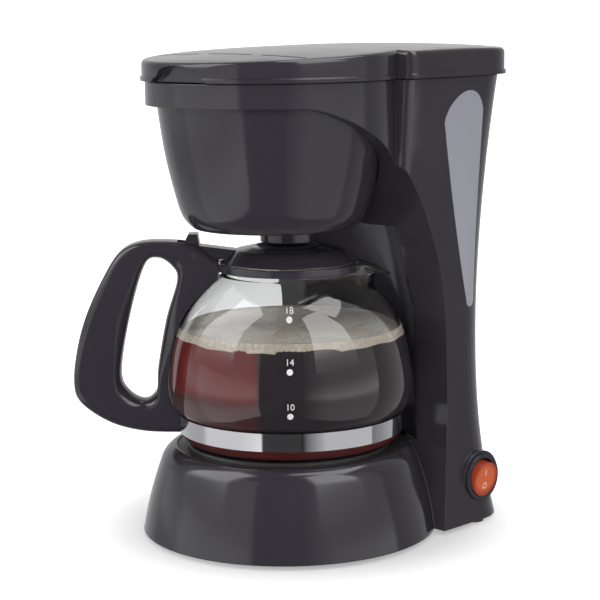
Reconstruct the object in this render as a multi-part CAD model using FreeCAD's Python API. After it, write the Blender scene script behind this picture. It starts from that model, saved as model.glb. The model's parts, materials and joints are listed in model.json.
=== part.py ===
import FreeCAD, Part
import math
import os

# Drip coffee maker. Millimetres, +Z up. The origin is on the warming plate's axis at the counter.
# The front is -Y, and +X is on the right hand of someone who stands in front of it.

# Shared wall and clearances
wall = 2.5
gap = 0.4
seat_gap = 0.3
pin_clear = 0.06

# Round base under the carafe
base_foot_r = 80.0
base_foot_z = 2.5
base_flank_r = 75.8
base_flank_z = 21.0
base_brow_r = 69.5
base_brow_z = 41.0
base_curl_r = 66.7
base_curl_z = 45.6
base_rim_r = 62.7
base_rim_z = 48.5
base_brow_drop = 1.0
base_curl_drop = 0.4

# Warming plate in the base's rim
plate_recess_r = 61.0
plate_flange_r = 60.6
plate_hole_r = 56.0
plate_ledge_z = 46.0
plate_seal_t = 1.0
seal_margin = 0.2
plate_t = 1.0
plate_crown = 1.0
plate_crown_r = 55.0
plate_edge = 0.5

# Tower: half width and back of its plan at the foot, waist and top
tower_foot_half = 75.0
tower_foot_back = 102.5
tower_waist_half = 63.0
tower_waist_back = 99.0
tower_top_half = 69.0
tower_top_back = 109.5
tower_front = 21.0
tower_front_corner = 5.0
tower_rear_corner = 25.0
tower_waist_z = 108.0
tower_foot_power = 2.4
tower_top_power = 1.8
seam_z = 100.0
deck_z = 245.0

# Bay in front of the tower, as its edge shows from the side: y, z from the cowl down to the counter
cowl_under_z = 232.7
bay_edge = [
    (-42.0, cowl_under_z), (-26.0, 228.4), (-14.4, 223.6), (-2.8, 218.0), (8.7, 211.0), (20.0, 201.5),
    (30.0, 189.5), (38.0, 177.0), (44.6, 163.5), (51.7, 146.0), (58.0, 109.5), (58.5, 76.4), (52.5, 33.7),
    (43.0, 0.0),
]
niche_r = 71.0
niche_straight_z = 118.0
niche_top_r = 60.0
niche_top_z = 165.0

# Cowl and brew bowl share an axis in front of the carafe's
cowl_y = -8.6
cowl_r = 67.0
bowl_flange_r = 64.2
bowl_flange_t = 2.0
bowl_ledge_z = 236.0
bowl_profile = [(61.2, 234.0), (57.6, 208.0), (51.6, 182.0), (48.3, 173.0)]
bowl_bottom_r = 43.0
bowl_bottom_z = 167.5
bowl_t = 2.2
outlet_y = 2.0
outlet_r = 15.4
outlet_bore_r = 11.5
outlet_tip_z = 158.6

# Lid over the cowl and the tank
lid_skirt_z = 245.4
lid_crown_z = 262.0
lid_crown_r = 1100.0
lid_crown_y = 62.0
lid_front_r = 68.6
lid_rear_half = 71.2
lid_rear_back = 112.7
lid_wall = 2.2
lid_bead = 0.8
lid_bead_h = 2.2
lid_edge = 2.6
lid_rim_low = 4.0
notch_width = 42.0
notch_height = 6.6
notch_depth = 6.0
vent_length = 32.0
vent_width = 2.6
vent_pitch = 39.5
vent_y = -39.0
vent_low = 3.0

# Lid hinge behind the tower
lid_hinge_y = 116.9
lid_hinge_z = 247.2
lid_knuckle_r = 3.4
lid_knuckle_half = 22.0
ear_length = 9.0
ear_web_z = 1.2
ear_web_back = 0.2
ear_web_step = 2.0
lid_pin_r = 1.25

# Tank window in each side of the tower: a tall drop with its narrow end down
window_root_x = 50.0
window_top_y = 72.0
window_top_z = 237.7
window_temple_y = 57.6
window_temple_z = 231.6
window_foot_z = 119.5
window_front_y = 51.6
window_brow_z = 221.5
window_back_y = 83.0
window_shoulder_z = 227.0
window_foot_y = 78.6
window_foot_r = 3.8
window_mid_y = 61.4
window_mid_z = 178.0
window_gap = 0.15
window_t = 2.0

# Tank floor, spigot, riser and spout
tank_floor_t = 3.0
pipe_y = 83.0
pipe_x = 19.0
pipe_r = 4.5
pipe_bore_r = 3.0
spigot_length = 12.0
riser_top_z = 243.0
riser_foot_z = 84.0
grommet_r = 6.5
grommet_flange_r = 8.0
grommet_flange_t = 2.0
grommet_room = 1.5
socket_t = 1.3
socket_foot_z = 238.0
spout_reach_x = 3.0
spout_reach_y = 16.0
spout_z = 249.4
spout_r = 3.6
spout_bore_r = 2.4
spout_cap_t = 1.0

# Filter basket, mesh filter and drip valve inside the bowl
basket_clear = 0.8
basket_t = 1.6
basket_rim_r = 62.0
basket_rim_t = 1.6
basket_bore_r = 4.6
basket_neck_t = 2.0
basket_neck_drop = 3.0
valve_seat_rise = 1.0
filter_clear = 0.6
filter_t = 1.0
filter_rise = 22.0
filter_lip = 7.0
filter_lip_in = 1.0
valve_stem_r = 2.6
valve_head_r = 6.6
valve_head_t = 2.4
valve_tip_z = 158.0
valve_guide = 4.0
seal_t = 1.1
seal_gap = 0.1
spring_r = 4.6
spring_wire = 0.9
spring_length = 8.0
cage_t = 1.6
cage_width = 8.0
cage_half = 11.0

# Carafe: its axis stands a little behind the plate's, and its handle points forward on the left
carafe_y = outlet_y
carafe_turn = 45.0
glass_t = 2.2
glass_foot_z = base_rim_z + plate_crown + seat_gap
glass_foot_r = 50.0
band_room = 0.4
heel_lean = 0.7
heel_rise = 0.3
band_r = 61.4
band_t = 0.8
band_foot_z = 56.8
band_h = 9.5
glass_groove_r = band_r - band_t
glass_profile = [(64.0, 70.6), (66.2, 83.0), (63.0, 104.5), (56.4, 120.8), (45.5, 133.4), (36.4, 141.0)]
neck_r = 36.0
neck_top_z = 147.2
collar_r = 39.0
collar_foot_z = 143.4
collar_top_z = 147.2
collar_clear = 0.2
collar_pour_clear = 0.5
pour_tip_x = 52.5
pour_tip_r = 5.0
pour_tip_z = 146.5
pour_root_x = 27.0
pour_root_r = 15.0
pour_root_z = 146.0
pour_rise = 0.12
pour_middle_r = 9.3
pour_middle_z = 145.0
pour_cut_x = 30.6
pour_wall = 1.76
pour_mouth = 9.0

# Carafe handle, drawn in the plane through the carafe's axis: x out to the handle, z
handle_half = 9.5
handle_round = 3.0
handle_root_x = -30.0
handle_loop_least = 150.0
handle_glass_gap = 0.3
handle_collar_gap = 0.1
handle_collar_drop = 18.0
handle_band_gap = 0.05
handle_band_room = 0.5
handle_outer = [
    (-49.8, 157.6), (-64.0, 159.3), (-80.0, 158.8), (-91.0, 153.5), (-99.6, 140.6), (-109.0, 121.1),
    (-114.6, 103.0), (-117.2, 84.0), (-114.0, 72.2), (-98.4, 61.0), (-80.0, 55.8), (-60.0, 54.9),
]
handle_opening = [
    (-70.3, 150.3), (-62.9, 145.6), (-60.4, 138.1), (-66.6, 117.3), (-71.6, 91.2), (-72.6, 78.5),
    (-78.9, 72.7), (-87.3, 76.7), (-91.8, 87.3), (-86.9, 116.7), (-77.9, 145.8),
]
carafe_pin_x = -51.8
carafe_pin_z = 151.7
carafe_pin_r = 1.5
carafe_pin_half = 8.5
lug_half = 5.5
lug_room_back = 8.0
lug_room_down = 6.0
band_lug_x = -71.0
band_lug_t = 1.6
band_lug_gap = 0.1
band_screw_x = -67.0
band_screw_r = 1.5
band_screw_head_r = 2.8
band_screw_head_t = 1.6
band_screw_reach = 6.65
band_screw_sink = 0.4
band_screw_end = 0.2

# Carafe lid: a dome with a dished inlet
dome_r = 37.2
dome_foot_z = 147.8
dome_shoulder_r = 29.0
dome_shoulder_z = 153.9
dome_crown_r = 18.5
dome_crown_z = 156.2
dome_dish_r = 8.0
dome_dish_z = 153.2
dome_t = 2.0
inlet_r = 4.0
tab_length = 12.0
tab_top_z = 163.0
tab_back = 2.0
tab_front = 3.0
tab_toe = 4.0
arm_root_in = 2.0
arm_root_z = 149.8
arm_drop = 3.0
arm_rise = 5.0

# Switch in the side of the tower's foot
switch_y = 79.0
switch_z = 25.2
switch_face_x = 70.3
switch_boss_r = 14.6
switch_barrel_r = 11.6
switch_pocket_r = 10.6
switch_pocket_depth = 8.0
switch_barrel_length = 15.0
bezel_r = 12.9
bezel_t = 1.8
rocker_r = 9.75
rocker_t = 6.0
rocker_proud = 1.6
rocker_pivot_in = 2.5
rocker_tilt = 8.0
rocker_pin_r = 1.2
rocker_pin_reach = 0.5
pivot_wall = 0.3
blade_width = 5.0
blade_t = 0.8
blade_length = 9.0
blade_pitch = 6.0
lamp_r = 1.2
lamp_half = 5.0

# Heater and its controls under the plate
heater_r = 37.0
heater_tube_r = 6.0
heater_bore_r = 4.2
heater_gap = 0.1
heater_tail = 9.0
hose_start = 5.0
hose_grip = 7.0
clamp_half = 46.0
clamp_width = 14.0
clamp_t = 2.0
clamp_gap = 0.1
stud_r = 2.0
stud_over = 1.0
nut_r = 4.0
nut_t = 3.2
thermostat_x = 25.0
thermostat_r = 8.0
thermostat_can_t = 5.4
thermostat_cap_r = 5.6
thermostat_t = 9.0
fuse_x = -25.0
fuse_r = 2.5
fuse_length = 22.0
hose_t = 1.4
hose_fit = 0.05
hose_bend = 9.0
hose_low_z = 31.0
hose_dip_y = 46.0
hose_run_y = 54.0

# Bottom cover, feet, screws and cord gland
cover_t = 2.2
cover_gap = 0.3
cover_round_gap = 0.6
foot_front = (46.0, -44.0)
foot_rear = (66.0, 78.0)
foot_r = 5.5
foot_stud_r = 2.5
foot_stud_rise = 3.0
screw_r = 1.5
screw_clear = 0.1
screw_head_r = 3.2
screw_head_t = 1.8
screw_length = 12.0
screw_post_r = 4.0
post_lap = 0.5
screw_front = (50.0, -28.0)
screw_rear = (40.0, 88.0)
joint_screw_x = 40.0
joint_screw_y = 77.0
gland_x = 0.0
gland_z = 22.0
gland_r = 7.0
gland_length = 9.0
gland_flange_r = 9.0
gland_flange_t = 2.4
gland_bore_r = 3.6
gland_proud = 0.8
gland_lap = 0.1

Z_AXIS = FreeCAD.Vector(0, 0, 1)
FAR = 300.0


def vec(x, y, z):
    return FreeCAD.Vector(x, y, z)


def cylinder(radius, low, high, x=0.0, y=0.0):
    return Part.makeCylinder(radius, high - low, vec(x, y, low), Z_AXIS)


def tube(outer, inner, low, high, x=0.0, y=0.0):
    return cylinder(outer, low, high, x, y).cut(cylinder(inner, low - 1, high + 1, x, y))


def block(low, high):
    size = [high[i] - low[i] for i in range(3)]
    return Part.makeBox(size[0], size[1], size[2], vec(*low))


def bar_x(radius, low, high, y, z):
    return Part.makeCylinder(radius, high - low, vec(low, y, z), vec(1, 0, 0))


def bar_y(radius, low, high, x, z):
    return Part.makeCylinder(radius, high - low, vec(x, low, z), vec(0, 1, 0))


def lines(points):
    return [Part.LineSegment(points[i], points[i + 1]).toShape() for i in range(len(points) - 1)]


def spline(points):
    curve = Part.BSplineCurve()
    curve.interpolate(points)
    return curve.toShape()


def turned(edges, y=0.0):
    """A solid turned about the vertical axis at y from a closed run of edges in the XZ plane."""
    face = Part.Face(Part.Wire(edges))
    solid = face.revolve(vec(0, 0, 0), Z_AXIS, 360)
    solid.translate(vec(0, y, 0))
    return solid


def turned_points(points, y=0.0):
    ring = [vec(r, 0, z) for r, z in points]
    return turned(lines(ring + ring[:1]), y)


def across(edges, half):
    """A slab whose outline lies in a plane of constant X, from -half to half."""
    face = Part.Face(Part.Wire(edges))
    face.translate(vec(-half, 0, 0))
    return face.extrude(vec(2 * half, 0, 0))


def tower_size(z):
    """Half width and back of the tower's plan at a height."""
    if z < tower_waist_z:
        share = ((tower_waist_z - z) / tower_waist_z) ** tower_foot_power
        half_end, back_end = tower_foot_half, tower_foot_back
    else:
        share = ((z - tower_waist_z) / (deck_z - tower_waist_z)) ** tower_top_power
        half_end, back_end = tower_top_half, tower_top_back
    half = tower_waist_half + (half_end - tower_waist_half) * share
    back = tower_waist_back + (back_end - tower_waist_back) * share
    return half, back


def plan(half, front, back, front_corner, rear_corner, z):
    """A rounded rectangle at height z, symmetric about X = 0."""
    c = math.sqrt(0.5)
    rear_x, rear_y = half - rear_corner, back - rear_corner
    front_x, front_y = half - front_corner, front + front_corner
    edges = [
        Part.LineSegment(vec(-front_x, front, z), vec(front_x, front, z)),
        Part.Arc(vec(front_x, front, z), vec(front_x + c * front_corner, front_y - c * front_corner, z),
                 vec(half, front_y, z)),
        Part.LineSegment(vec(half, front_y, z), vec(half, rear_y, z)),
        Part.Arc(vec(half, rear_y, z), vec(rear_x + c * rear_corner, rear_y + c * rear_corner, z),
                 vec(rear_x, back, z)),
        Part.LineSegment(vec(rear_x, back, z), vec(-rear_x, back, z)),
        Part.Arc(vec(-rear_x, back, z), vec(-rear_x - c * rear_corner, rear_y + c * rear_corner, z),
                 vec(-half, rear_y, z)),
        Part.LineSegment(vec(-half, rear_y, z), vec(-half, front_y, z)),
        Part.Arc(vec(-half, front_y, z), vec(-front_x - c * front_corner, front_y - c * front_corner, z),
                 vec(-front_x, front, z)),
    ]
    return Part.Wire([edge.toShape() for edge in edges])


def tower(low, high, inset):
    """The tower's outer form, or the same form drawn in by a wall, between two heights."""
    steps = 6
    sections = []
    for i in range(steps + 1):
        z = low + (high - low) * i / steps
        half, back = tower_size(z)
        sections.append(plan(half - inset, tower_front + inset, back - inset,
                             tower_front_corner - inset, tower_rear_corner - inset, z))
    return Part.makeLoft(sections, True, False)


def bay(shift):
    """Everything in front of the tower's bay wall, moved back by a wall where shift is one."""
    curve = [vec(0, y + shift, z) for y, z in bay_edge]
    foot = vec(0, curve[-1].y, -1)
    edges = [spline(curve)]
    edges += lines([curve[-1], foot, vec(0, -FAR, -1), vec(0, -FAR, cowl_under_z), curve[0]])
    return across(edges, FAR)


def niche(extra):
    """The round recess behind the carafe."""
    return turned_points([
        (0, base_rim_z - wall), (niche_r + extra, base_rim_z - wall), (niche_r + extra, niche_straight_z),
        (niche_top_r + extra, niche_top_z), (0, niche_top_z),
    ])


def bowl_outer(extra, top):
    """The brew bowl's outer form with its rounded heel, up to a height."""
    heel = vec(bowl_bottom_r + extra, 0, bowl_bottom_z - extra)
    side = [vec(r + extra, 0, z) for r, z in reversed(bowl_profile)]
    crown = vec(side[-1].x, 0, top)
    edges = [spline([heel] + side)]
    edges += lines([side[-1], crown, vec(0, 0, top), vec(0, 0, heel.z), heel])
    return turned(edges, cowl_y)


def base_form(inset):
    """The round base's outer form, or its cavity where inset is a wall."""
    top = base_rim_z if inset == 0 else plate_ledge_z - wall
    foot = vec(base_foot_r - inset, 0, base_foot_z)
    brow = vec(base_brow_r - inset, 0, min(base_brow_z, top - base_brow_drop))
    flank = Part.Arc(foot, vec(base_flank_r - inset, 0, base_flank_z), brow).toShape()
    rim = vec(base_rim_r - inset, 0, top)
    curl = Part.Arc(brow, vec(base_curl_r - inset, 0, min(base_curl_z, top - base_curl_drop)), rim).toShape()
    return turned([flank, curl] + lines([rim, vec(0, 0, top), vec(0, 0, base_foot_z), foot]))


def route(points, bend):
    """A wire of straight runs joined by tangent arcs."""
    edges = []
    start = points[0]
    for i in range(1, len(points) - 1):
        corner = points[i]
        back = (points[i - 1] - corner).normalize()
        ahead = (points[i + 1] - corner).normalize()
        half_angle = back.getAngle(ahead) / 2
        reach = bend / math.tan(half_angle)
        bulge = bend / math.sin(half_angle) - bend
        enter, leave = corner + back * reach, corner + ahead * reach
        middle = corner + (back + ahead).normalize() * bulge
        edges.append(Part.LineSegment(start, enter).toShape())
        edges.append(Part.Arc(enter, middle, leave).toShape())
        start = leave
    edges.append(Part.LineSegment(start, points[-1]).toShape())
    return Part.Wire(edges)


def routed_tube(points, bend, outer, bore):
    """A tube along a route."""
    solids = []
    for radius in (outer, bore):
        ring = Part.Wire(Part.makeCircle(radius, points[0], points[1] - points[0]))
        solids.append(route(points, bend).makePipeShell([ring], True, False))
    return solids[0].cut(solids[1])


def save(shape, name):
    if not shape.isValid():
        print("not valid:", name)
    shape.exportStep("parts/" + name + ".step")
    print(name, len(shape.Solids), round(shape.Volume))


def screw(x, y, seat_z, length):
    """A pan-head screw whose head sits under seat_z."""
    shank = cylinder(screw_r, seat_z - screw_head_t / 2, seat_z + length, x, y)
    return shank.fuse(cylinder(screw_head_r, seat_z - screw_head_t, seat_z, x, y))


def mirrored_spots(spots):
    return [(side * x, y) for x, y in spots for side in (-1, 1)]


def base_housing():
    column = tower(base_foot_z, seam_z, 0).cut(bay(0)).cut(niche(0))
    boss_root_x = tower_waist_half - wall
    boss = bar_x(switch_boss_r, boss_root_x, switch_face_x, switch_y, switch_z)
    solid = base_form(0).fuse([column, boss])
    hollow = tower(base_foot_z - 1, seam_z - wall, wall).cut(bay(wall)).cut(niche(wall))
    round_hollow = base_form(wall)
    round_hollow = round_hollow.fuse(cylinder(base_foot_r - wall, base_foot_z - 1, base_foot_z))
    solid = solid.cut(hollow).cut(round_hollow)
    solid = solid.cut(cylinder(plate_recess_r, plate_ledge_z, base_rim_z + 1))
    solid = solid.cut(cylinder(plate_hole_r, plate_ledge_z - wall - 1, base_rim_z))
    for x in (-pipe_x, pipe_x):
        solid = solid.cut(cylinder(grommet_r + grommet_room, seam_z - wall - 1, seam_z + 1, x, pipe_y))
    solid = solid.cut(bar_x(switch_barrel_r + gap / 2, boss_root_x - FAR / 10, FAR, switch_y, switch_z))
    solid = solid.cut(bar_x(bezel_r + gap / 2, switch_face_x, FAR, switch_y, switch_z))
    solid = solid.cut(bar_y(gland_r + gap / 2, tower_waist_back - 3 * wall, FAR, gland_x, gland_z))
    cover_top = base_foot_z + cover_t
    for spot, roof_z in ((screw_front, plate_ledge_z - wall), (screw_rear, seam_z - wall)):
        for x, y in mirrored_spots([spot]):
            solid = solid.fuse(cylinder(screw_post_r, cover_top, roof_z + post_lap, x, y))
            solid = solid.cut(cylinder(screw_r + screw_clear, cover_top - 1, cover_top + screw_length, x, y))
    for x in (-joint_screw_x, joint_screw_x):
        solid = solid.cut(cylinder(screw_r + gap, seam_z - wall - 1, seam_z + 1, x, joint_screw_y))
    return solid.removeSplitter()


def upper_housing():
    solid = tower(seam_z, deck_z, 0).fuse(cylinder(cowl_r, bowl_bottom_z, deck_z, 0, cowl_y))
    solid = solid.cut(bay(0)).cut(niche(0))
    chamber = bowl_outer(gap, bowl_ledge_z + 1)
    chamber = chamber.fuse(cylinder(bowl_flange_r + gap, bowl_ledge_z, deck_z + 1, 0, cowl_y))
    chamber_wall = bowl_outer(gap + wall, deck_z + 2)
    tank = tower(seam_z + tank_floor_t, deck_z + 1, wall).cut(bay(wall)).cut(niche(wall)).cut(chamber_wall)
    tank = tank.cut(cylinder(cowl_r, bowl_bottom_z, deck_z + 2, 0, cowl_y))
    solid = solid.cut(chamber).cut(tank)
    solid = solid.fuse(cylinder(pipe_r, seam_z - spigot_length, seam_z + 1, -pipe_x, pipe_y))
    solid = solid.cut(cylinder(pipe_bore_r, seam_z - FAR / 10, seam_z + 2 * tank_floor_t, -pipe_x, pipe_y))
    solid = solid.cut(cylinder(grommet_r, seam_z - 1, seam_z + tank_floor_t + 1, pipe_x, pipe_y))
    for side in (-1, 1):
        solid = solid.cut(window_drop(0, side))
        x = side * joint_screw_x
        post = cylinder(screw_post_r, seam_z, seam_z + screw_length + wall, x, joint_screw_y)
        bore = cylinder(screw_r + screw_clear, seam_z - 1, seam_z + screw_length, x, joint_screw_y)
        solid = solid.fuse(post).cut(bore)
        solid = solid.fuse(lid_ear(side * (lid_knuckle_half + gap + ear_length / 2)))
    solid = solid.cut(bar_x(lid_pin_r + pin_clear, -FAR, FAR, lid_hinge_y, lid_hinge_z))
    return solid.removeSplitter()


def lid_ear(middle):
    """One hinge ear of the tower, with its web down to the tower's back."""
    low, high = middle - ear_length / 2, middle + ear_length / 2
    ear = bar_x(lid_knuckle_r, low, high, lid_hinge_y, lid_hinge_z)
    foot_z = deck_z - 4 * lid_knuckle_r
    foot_back = tower_size(foot_z)[1]
    side = [
        vec(0, lid_hinge_y + lid_knuckle_r - ear_web_back, lid_hinge_z - ear_web_z),
        vec(0, lid_hinge_y - ear_web_step, deck_z - seat_gap),
        vec(0, tower_top_back - wall / 2, deck_z - seat_gap), vec(0, foot_back - wall / 2, foot_z),
        vec(0, foot_back, foot_z),
    ]
    web = across(lines(side + side[:1]), ear_length / 2)
    web.translate(vec(middle, 0, 0))
    return ear.fuse(web)


def window_drop(shrink, side):
    """The drop-shaped opening in one side of the tower, as a slab along X."""
    brow = vec(0, window_front_y + shrink, window_brow_z)
    temple = vec(0, window_temple_y + shrink, window_temple_z - shrink)
    top = vec(0, window_top_y, window_top_z - shrink)
    shoulder = vec(0, window_back_y - shrink, window_shoulder_z)
    foot_r = window_foot_r - shrink
    foot_z = window_foot_z + window_foot_r
    rear_foot = vec(0, window_foot_y + foot_r, foot_z)
    front_foot = vec(0, window_foot_y - foot_r, foot_z)
    heel = Part.Arc(rear_foot, vec(0, window_foot_y, foot_z - foot_r), front_foot).toShape()
    front = [front_foot, vec(0, window_mid_y + shrink, window_mid_z), brow]
    crown = spline([brow, temple, top, shoulder])
    edges = [spline(front), crown] + lines([shoulder, rear_foot]) + [heel]
    face = Part.Face(Part.Wire(edges))
    face.translate(vec(side * window_root_x, 0, 0))
    return face.extrude(vec(side * FAR, 0, 0))


def tank_window(side):
    drop = window_drop(window_gap, side)
    pane = tower(seam_z, deck_z, 0).cut(tower(seam_z - 1, deck_z + 1, window_t)).common(drop)
    return pane


def brew_bowl():
    outer = bowl_outer(0, bowl_ledge_z + bowl_flange_t)
    outer = outer.fuse(cylinder(bowl_flange_r, bowl_ledge_z, bowl_ledge_z + bowl_flange_t, 0, cowl_y))
    outer = outer.fuse(cylinder(outlet_r, outlet_tip_z, bowl_bottom_z + 1, 0, outlet_y))
    inner = bowl_outer(-bowl_t, bowl_ledge_z + bowl_flange_t + 1)
    bore = cylinder(outlet_bore_r, outlet_tip_z - 1, bowl_bottom_z + 2 * bowl_t, 0, outlet_y)
    return outer.cut(inner).cut(bore)


def lid_plan(inset, low, high):
    """The lid's plan, a round front lobe and a wide rear one, as an upright prism."""
    front = cylinder(lid_front_r - inset, low, high, 0, cowl_y)
    wire = plan(lid_rear_half - inset, tower_front + inset, lid_rear_back - inset,
                tower_front_corner - inset, tower_rear_corner - inset, low)
    rear = Part.Face(wire).extrude(vec(0, 0, high - low))
    return front.fuse(rear).removeSplitter()


def lid_dome(drop):
    """The ball that the lid's top is cut from, lying on its side so that its seam stays off the lid."""
    centre = vec(0, lid_crown_y, lid_crown_z - lid_crown_r)
    return Part.makeSphere(lid_crown_r - drop, centre, vec(0, -1, 0))


def is_upright(edge):
    """True for an edge that stands straight up."""
    return edge.BoundBox.ZLength > 0.99 * edge.Length


def top_lid():
    shell = lid_plan(0, lid_skirt_z, lid_crown_z + 1).common(lid_dome(0))
    rim_z = lid_skirt_z + lid_rim_low
    rim = [edge for edge in shell.Edges if edge.BoundBox.ZMin > rim_z and not is_upright(edge)]
    shell = shell.makeFillet(lid_edge, rim)
    bead = lid_plan(-lid_bead, lid_skirt_z, lid_skirt_z + lid_bead_h)
    inner = lid_plan(lid_wall, lid_skirt_z - 1, lid_crown_z).common(lid_dome(lid_wall))
    notch_r = ((notch_width / 2) ** 2 + notch_height ** 2) / (2 * notch_height)
    notch_z = lid_skirt_z + notch_height - notch_r
    front_y = cowl_y - lid_front_r
    scoop = bar_y(notch_r, front_y - 2, front_y + notch_depth, 0, notch_z)
    backing_r = notch_r + lid_wall
    backing = bar_y(backing_r, front_y + lid_wall / 2, front_y + notch_depth + lid_wall, 0, notch_z)
    backing = backing.cut(block((-FAR, -FAR, 0), (FAR, FAR, lid_skirt_z)))
    backing = backing.common(lid_plan(lid_wall / 2, 0, FAR)).common(lid_dome(lid_wall / 2))
    solid = shell.fuse(bead).cut(inner).fuse(backing).cut(scoop)
    vent_foot = lid_skirt_z + vent_low
    for i in (-1, 0, 1):
        half = vent_length / 2 - vent_width / 2
        x = i * vent_pitch
        slot = block((x - half, vent_y - vent_width / 2, vent_foot), (x + half, vent_y + vent_width / 2, FAR))
        for end in (-half, half):
            slot = slot.fuse(cylinder(vent_width / 2, vent_foot, FAR, x + end, vent_y))
        solid = solid.cut(slot)
    knuckle = bar_x(lid_knuckle_r, -lid_knuckle_half, lid_knuckle_half, lid_hinge_y, lid_hinge_z)
    web = block((-lid_knuckle_half, lid_rear_back - lid_wall, lid_hinge_z - 1),
                (lid_knuckle_half, lid_hinge_y, lid_hinge_z + lid_knuckle_r))
    solid = solid.fuse([knuckle, web])
    for side in (-1, 1):
        ends = sorted([side * lid_knuckle_half, side * (lid_knuckle_half + ear_length + 2 * gap)])
        solid = solid.cut(bar_x(lid_knuckle_r + gap, ends[0], ends[1], lid_hinge_y, lid_hinge_z))
    solid = solid.cut(bar_x(lid_pin_r + pin_clear, -FAR, FAR, lid_hinge_y, lid_hinge_z))
    return solid


def basket_outer(extra, low, high):
    """The cavity inside the bowl, drawn in by a clearance."""
    body = bowl_outer(-bowl_t - basket_clear - extra, high)
    return body.cut(block((-FAR, -FAR, 0), (FAR, FAR, low)))


def basket_floor_z():
    return bowl_bottom_z + bowl_t + basket_clear


def valve_seat_z():
    return basket_floor_z() + basket_t + valve_seat_rise


def filter_basket():
    floor = basket_floor_z()
    rim_z = bowl_ledge_z + bowl_flange_t + seat_gap
    outer = basket_outer(0, floor, rim_z + basket_rim_t)
    outer = outer.fuse(cylinder(basket_rim_r, rim_z, rim_z + basket_rim_t, 0, cowl_y))
    solid = outer.cut(basket_outer(basket_t, floor + basket_t, rim_z + basket_rim_t + 1))
    neck_r = basket_bore_r + basket_neck_t
    solid = solid.fuse(cylinder(neck_r, floor - basket_neck_drop, valve_seat_z(), 0, outlet_y))
    return solid.cut(cylinder(basket_bore_r, floor - FAR / 10, valve_seat_z() + 1, 0, outlet_y))


def mesh_filter():
    floor = basket_floor_z() + basket_t + filter_rise
    rim_z = bowl_ledge_z + bowl_flange_t + seat_gap + basket_rim_t
    lip_r = basket_rim_r - filter_lip_in
    inset = basket_t + filter_clear
    outer = basket_outer(inset, floor, rim_z + filter_t)
    skin = outer.cut(basket_outer(inset + filter_t, floor + filter_t, rim_z + filter_t + 1))
    return skin.fuse(tube(lip_r, lip_r - filter_lip, rim_z, rim_z + filter_t, 0, cowl_y))


def valve_levels():
    """Underside of the head, top of the head and underside of the cage."""
    head_low = valve_seat_z() + seal_gap + seal_t
    head_top = head_low + valve_head_t
    return head_low, head_top, head_top + spring_length


def drip_valve():
    head_low, head_top, cage_low = valve_levels()
    stem = cylinder(valve_stem_r, valve_tip_z, cage_low + cage_t + valve_guide / 2, 0, outlet_y)
    return stem.fuse(cylinder(valve_head_r, head_low, head_top, 0, outlet_y))


def valve_seal():
    head_low = valve_levels()[0]
    return tube(valve_head_r, valve_stem_r, head_low - seal_t, head_low, 0, outlet_y)


def valve_spring():
    head_low, head_top, cage_low = valve_levels()
    return tube(spring_r, spring_r - spring_wire, head_top, cage_low, 0, outlet_y)


def valve_cage():
    """A bridge over the valve that its spring pushes against."""
    cage_low = valve_levels()[2]
    floor = basket_floor_z() + basket_t
    front_y, rear_y = outlet_y - cage_width / 2, outlet_y + cage_width / 2
    bridge = block((-cage_half, front_y, floor), (cage_half, rear_y, cage_low + cage_t))
    leg_in = cage_half - cage_t
    space = block((-leg_in, outlet_y - cage_width, floor - 1), (leg_in, outlet_y + cage_width, cage_low))
    return bridge.cut(space).cut(cylinder(valve_stem_r + gap, cage_low - 1, FAR, 0, outlet_y))


def warming_plate():
    low = plate_ledge_z + plate_seal_t
    top = base_rim_z + plate_crown
    return turned_points([
        (0, top - plate_t), (plate_crown_r - plate_t, top - plate_t), (plate_crown_r - plate_t, low),
        (plate_flange_r, low), (plate_flange_r, low + plate_t), (plate_crown_r, low + plate_t),
        (plate_crown_r, top - plate_edge), (plate_crown_r - plate_edge, top), (0, top),
    ]).fuse(cylinder(stud_r, clamp_level() - clamp_t - nut_t - stud_over, top - plate_t / 2))


def plate_seal():
    outer, inner = plate_recess_r - seal_margin, plate_hole_r + seal_margin
    return tube(outer, inner, plate_ledge_z, plate_ledge_z + plate_seal_t)


def heater_z():
    return base_rim_z + plate_crown - plate_t - heater_gap - heater_tube_r


def clamp_level():
    return heater_z() - heater_tube_r - clamp_gap


def heater_element():
    """A tube bent round under the plate, open at the back, with a straight tail at each end."""
    half_gap = math.degrees(math.asin(pipe_x / heater_r))
    z = heater_z()
    solids = []
    for radius, tail_r in ((heater_tube_r, pipe_r), (heater_bore_r, pipe_bore_r)):
        ring = Part.makeTorus(heater_r, radius, vec(0, 0, z), Z_AXIS, -180, 180, 360 - 2 * half_gap)
        ring.rotate(vec(0, 0, 0), Z_AXIS, 90 + half_gap)
        end_y = math.sqrt(heater_r ** 2 - pipe_x ** 2)
        for x in (-pipe_x, pipe_x):
            ring = ring.fuse(bar_y(tail_r, end_y - tail_r / 2, end_y + heater_tail, x, z))
        solids.append(ring)
    return solids[0].cut(solids[1])


def heater_clamp():
    high = clamp_level()
    bar = block((-clamp_half, -clamp_width / 2, high - clamp_t), (clamp_half, clamp_width / 2, high))
    return bar.cut(cylinder(stud_r + gap / 2, 0, FAR))


def clamp_nut():
    high = clamp_level() - clamp_t
    turns = [math.radians(60 * i) for i in range(6)]
    corners = [vec(nut_r * math.cos(turn), nut_r * math.sin(turn), high - nut_t) for turn in turns]
    solid = Part.Face(Part.Wire(lines(corners + corners[:1]))).extrude(vec(0, 0, nut_t))
    return solid.cut(cylinder(stud_r + pin_clear, 0, FAR))


def thermostat():
    high = clamp_level() - clamp_t
    can = cylinder(thermostat_r, high - thermostat_can_t, high, thermostat_x, 0)
    return can.fuse(cylinder(thermostat_cap_r, high - thermostat_t, high, thermostat_x, 0))


def thermal_fuse():
    z = clamp_level() - clamp_t - fuse_r
    return bar_x(fuse_r, fuse_x - fuse_length / 2, fuse_x + fuse_length / 2, 0, z)


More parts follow.
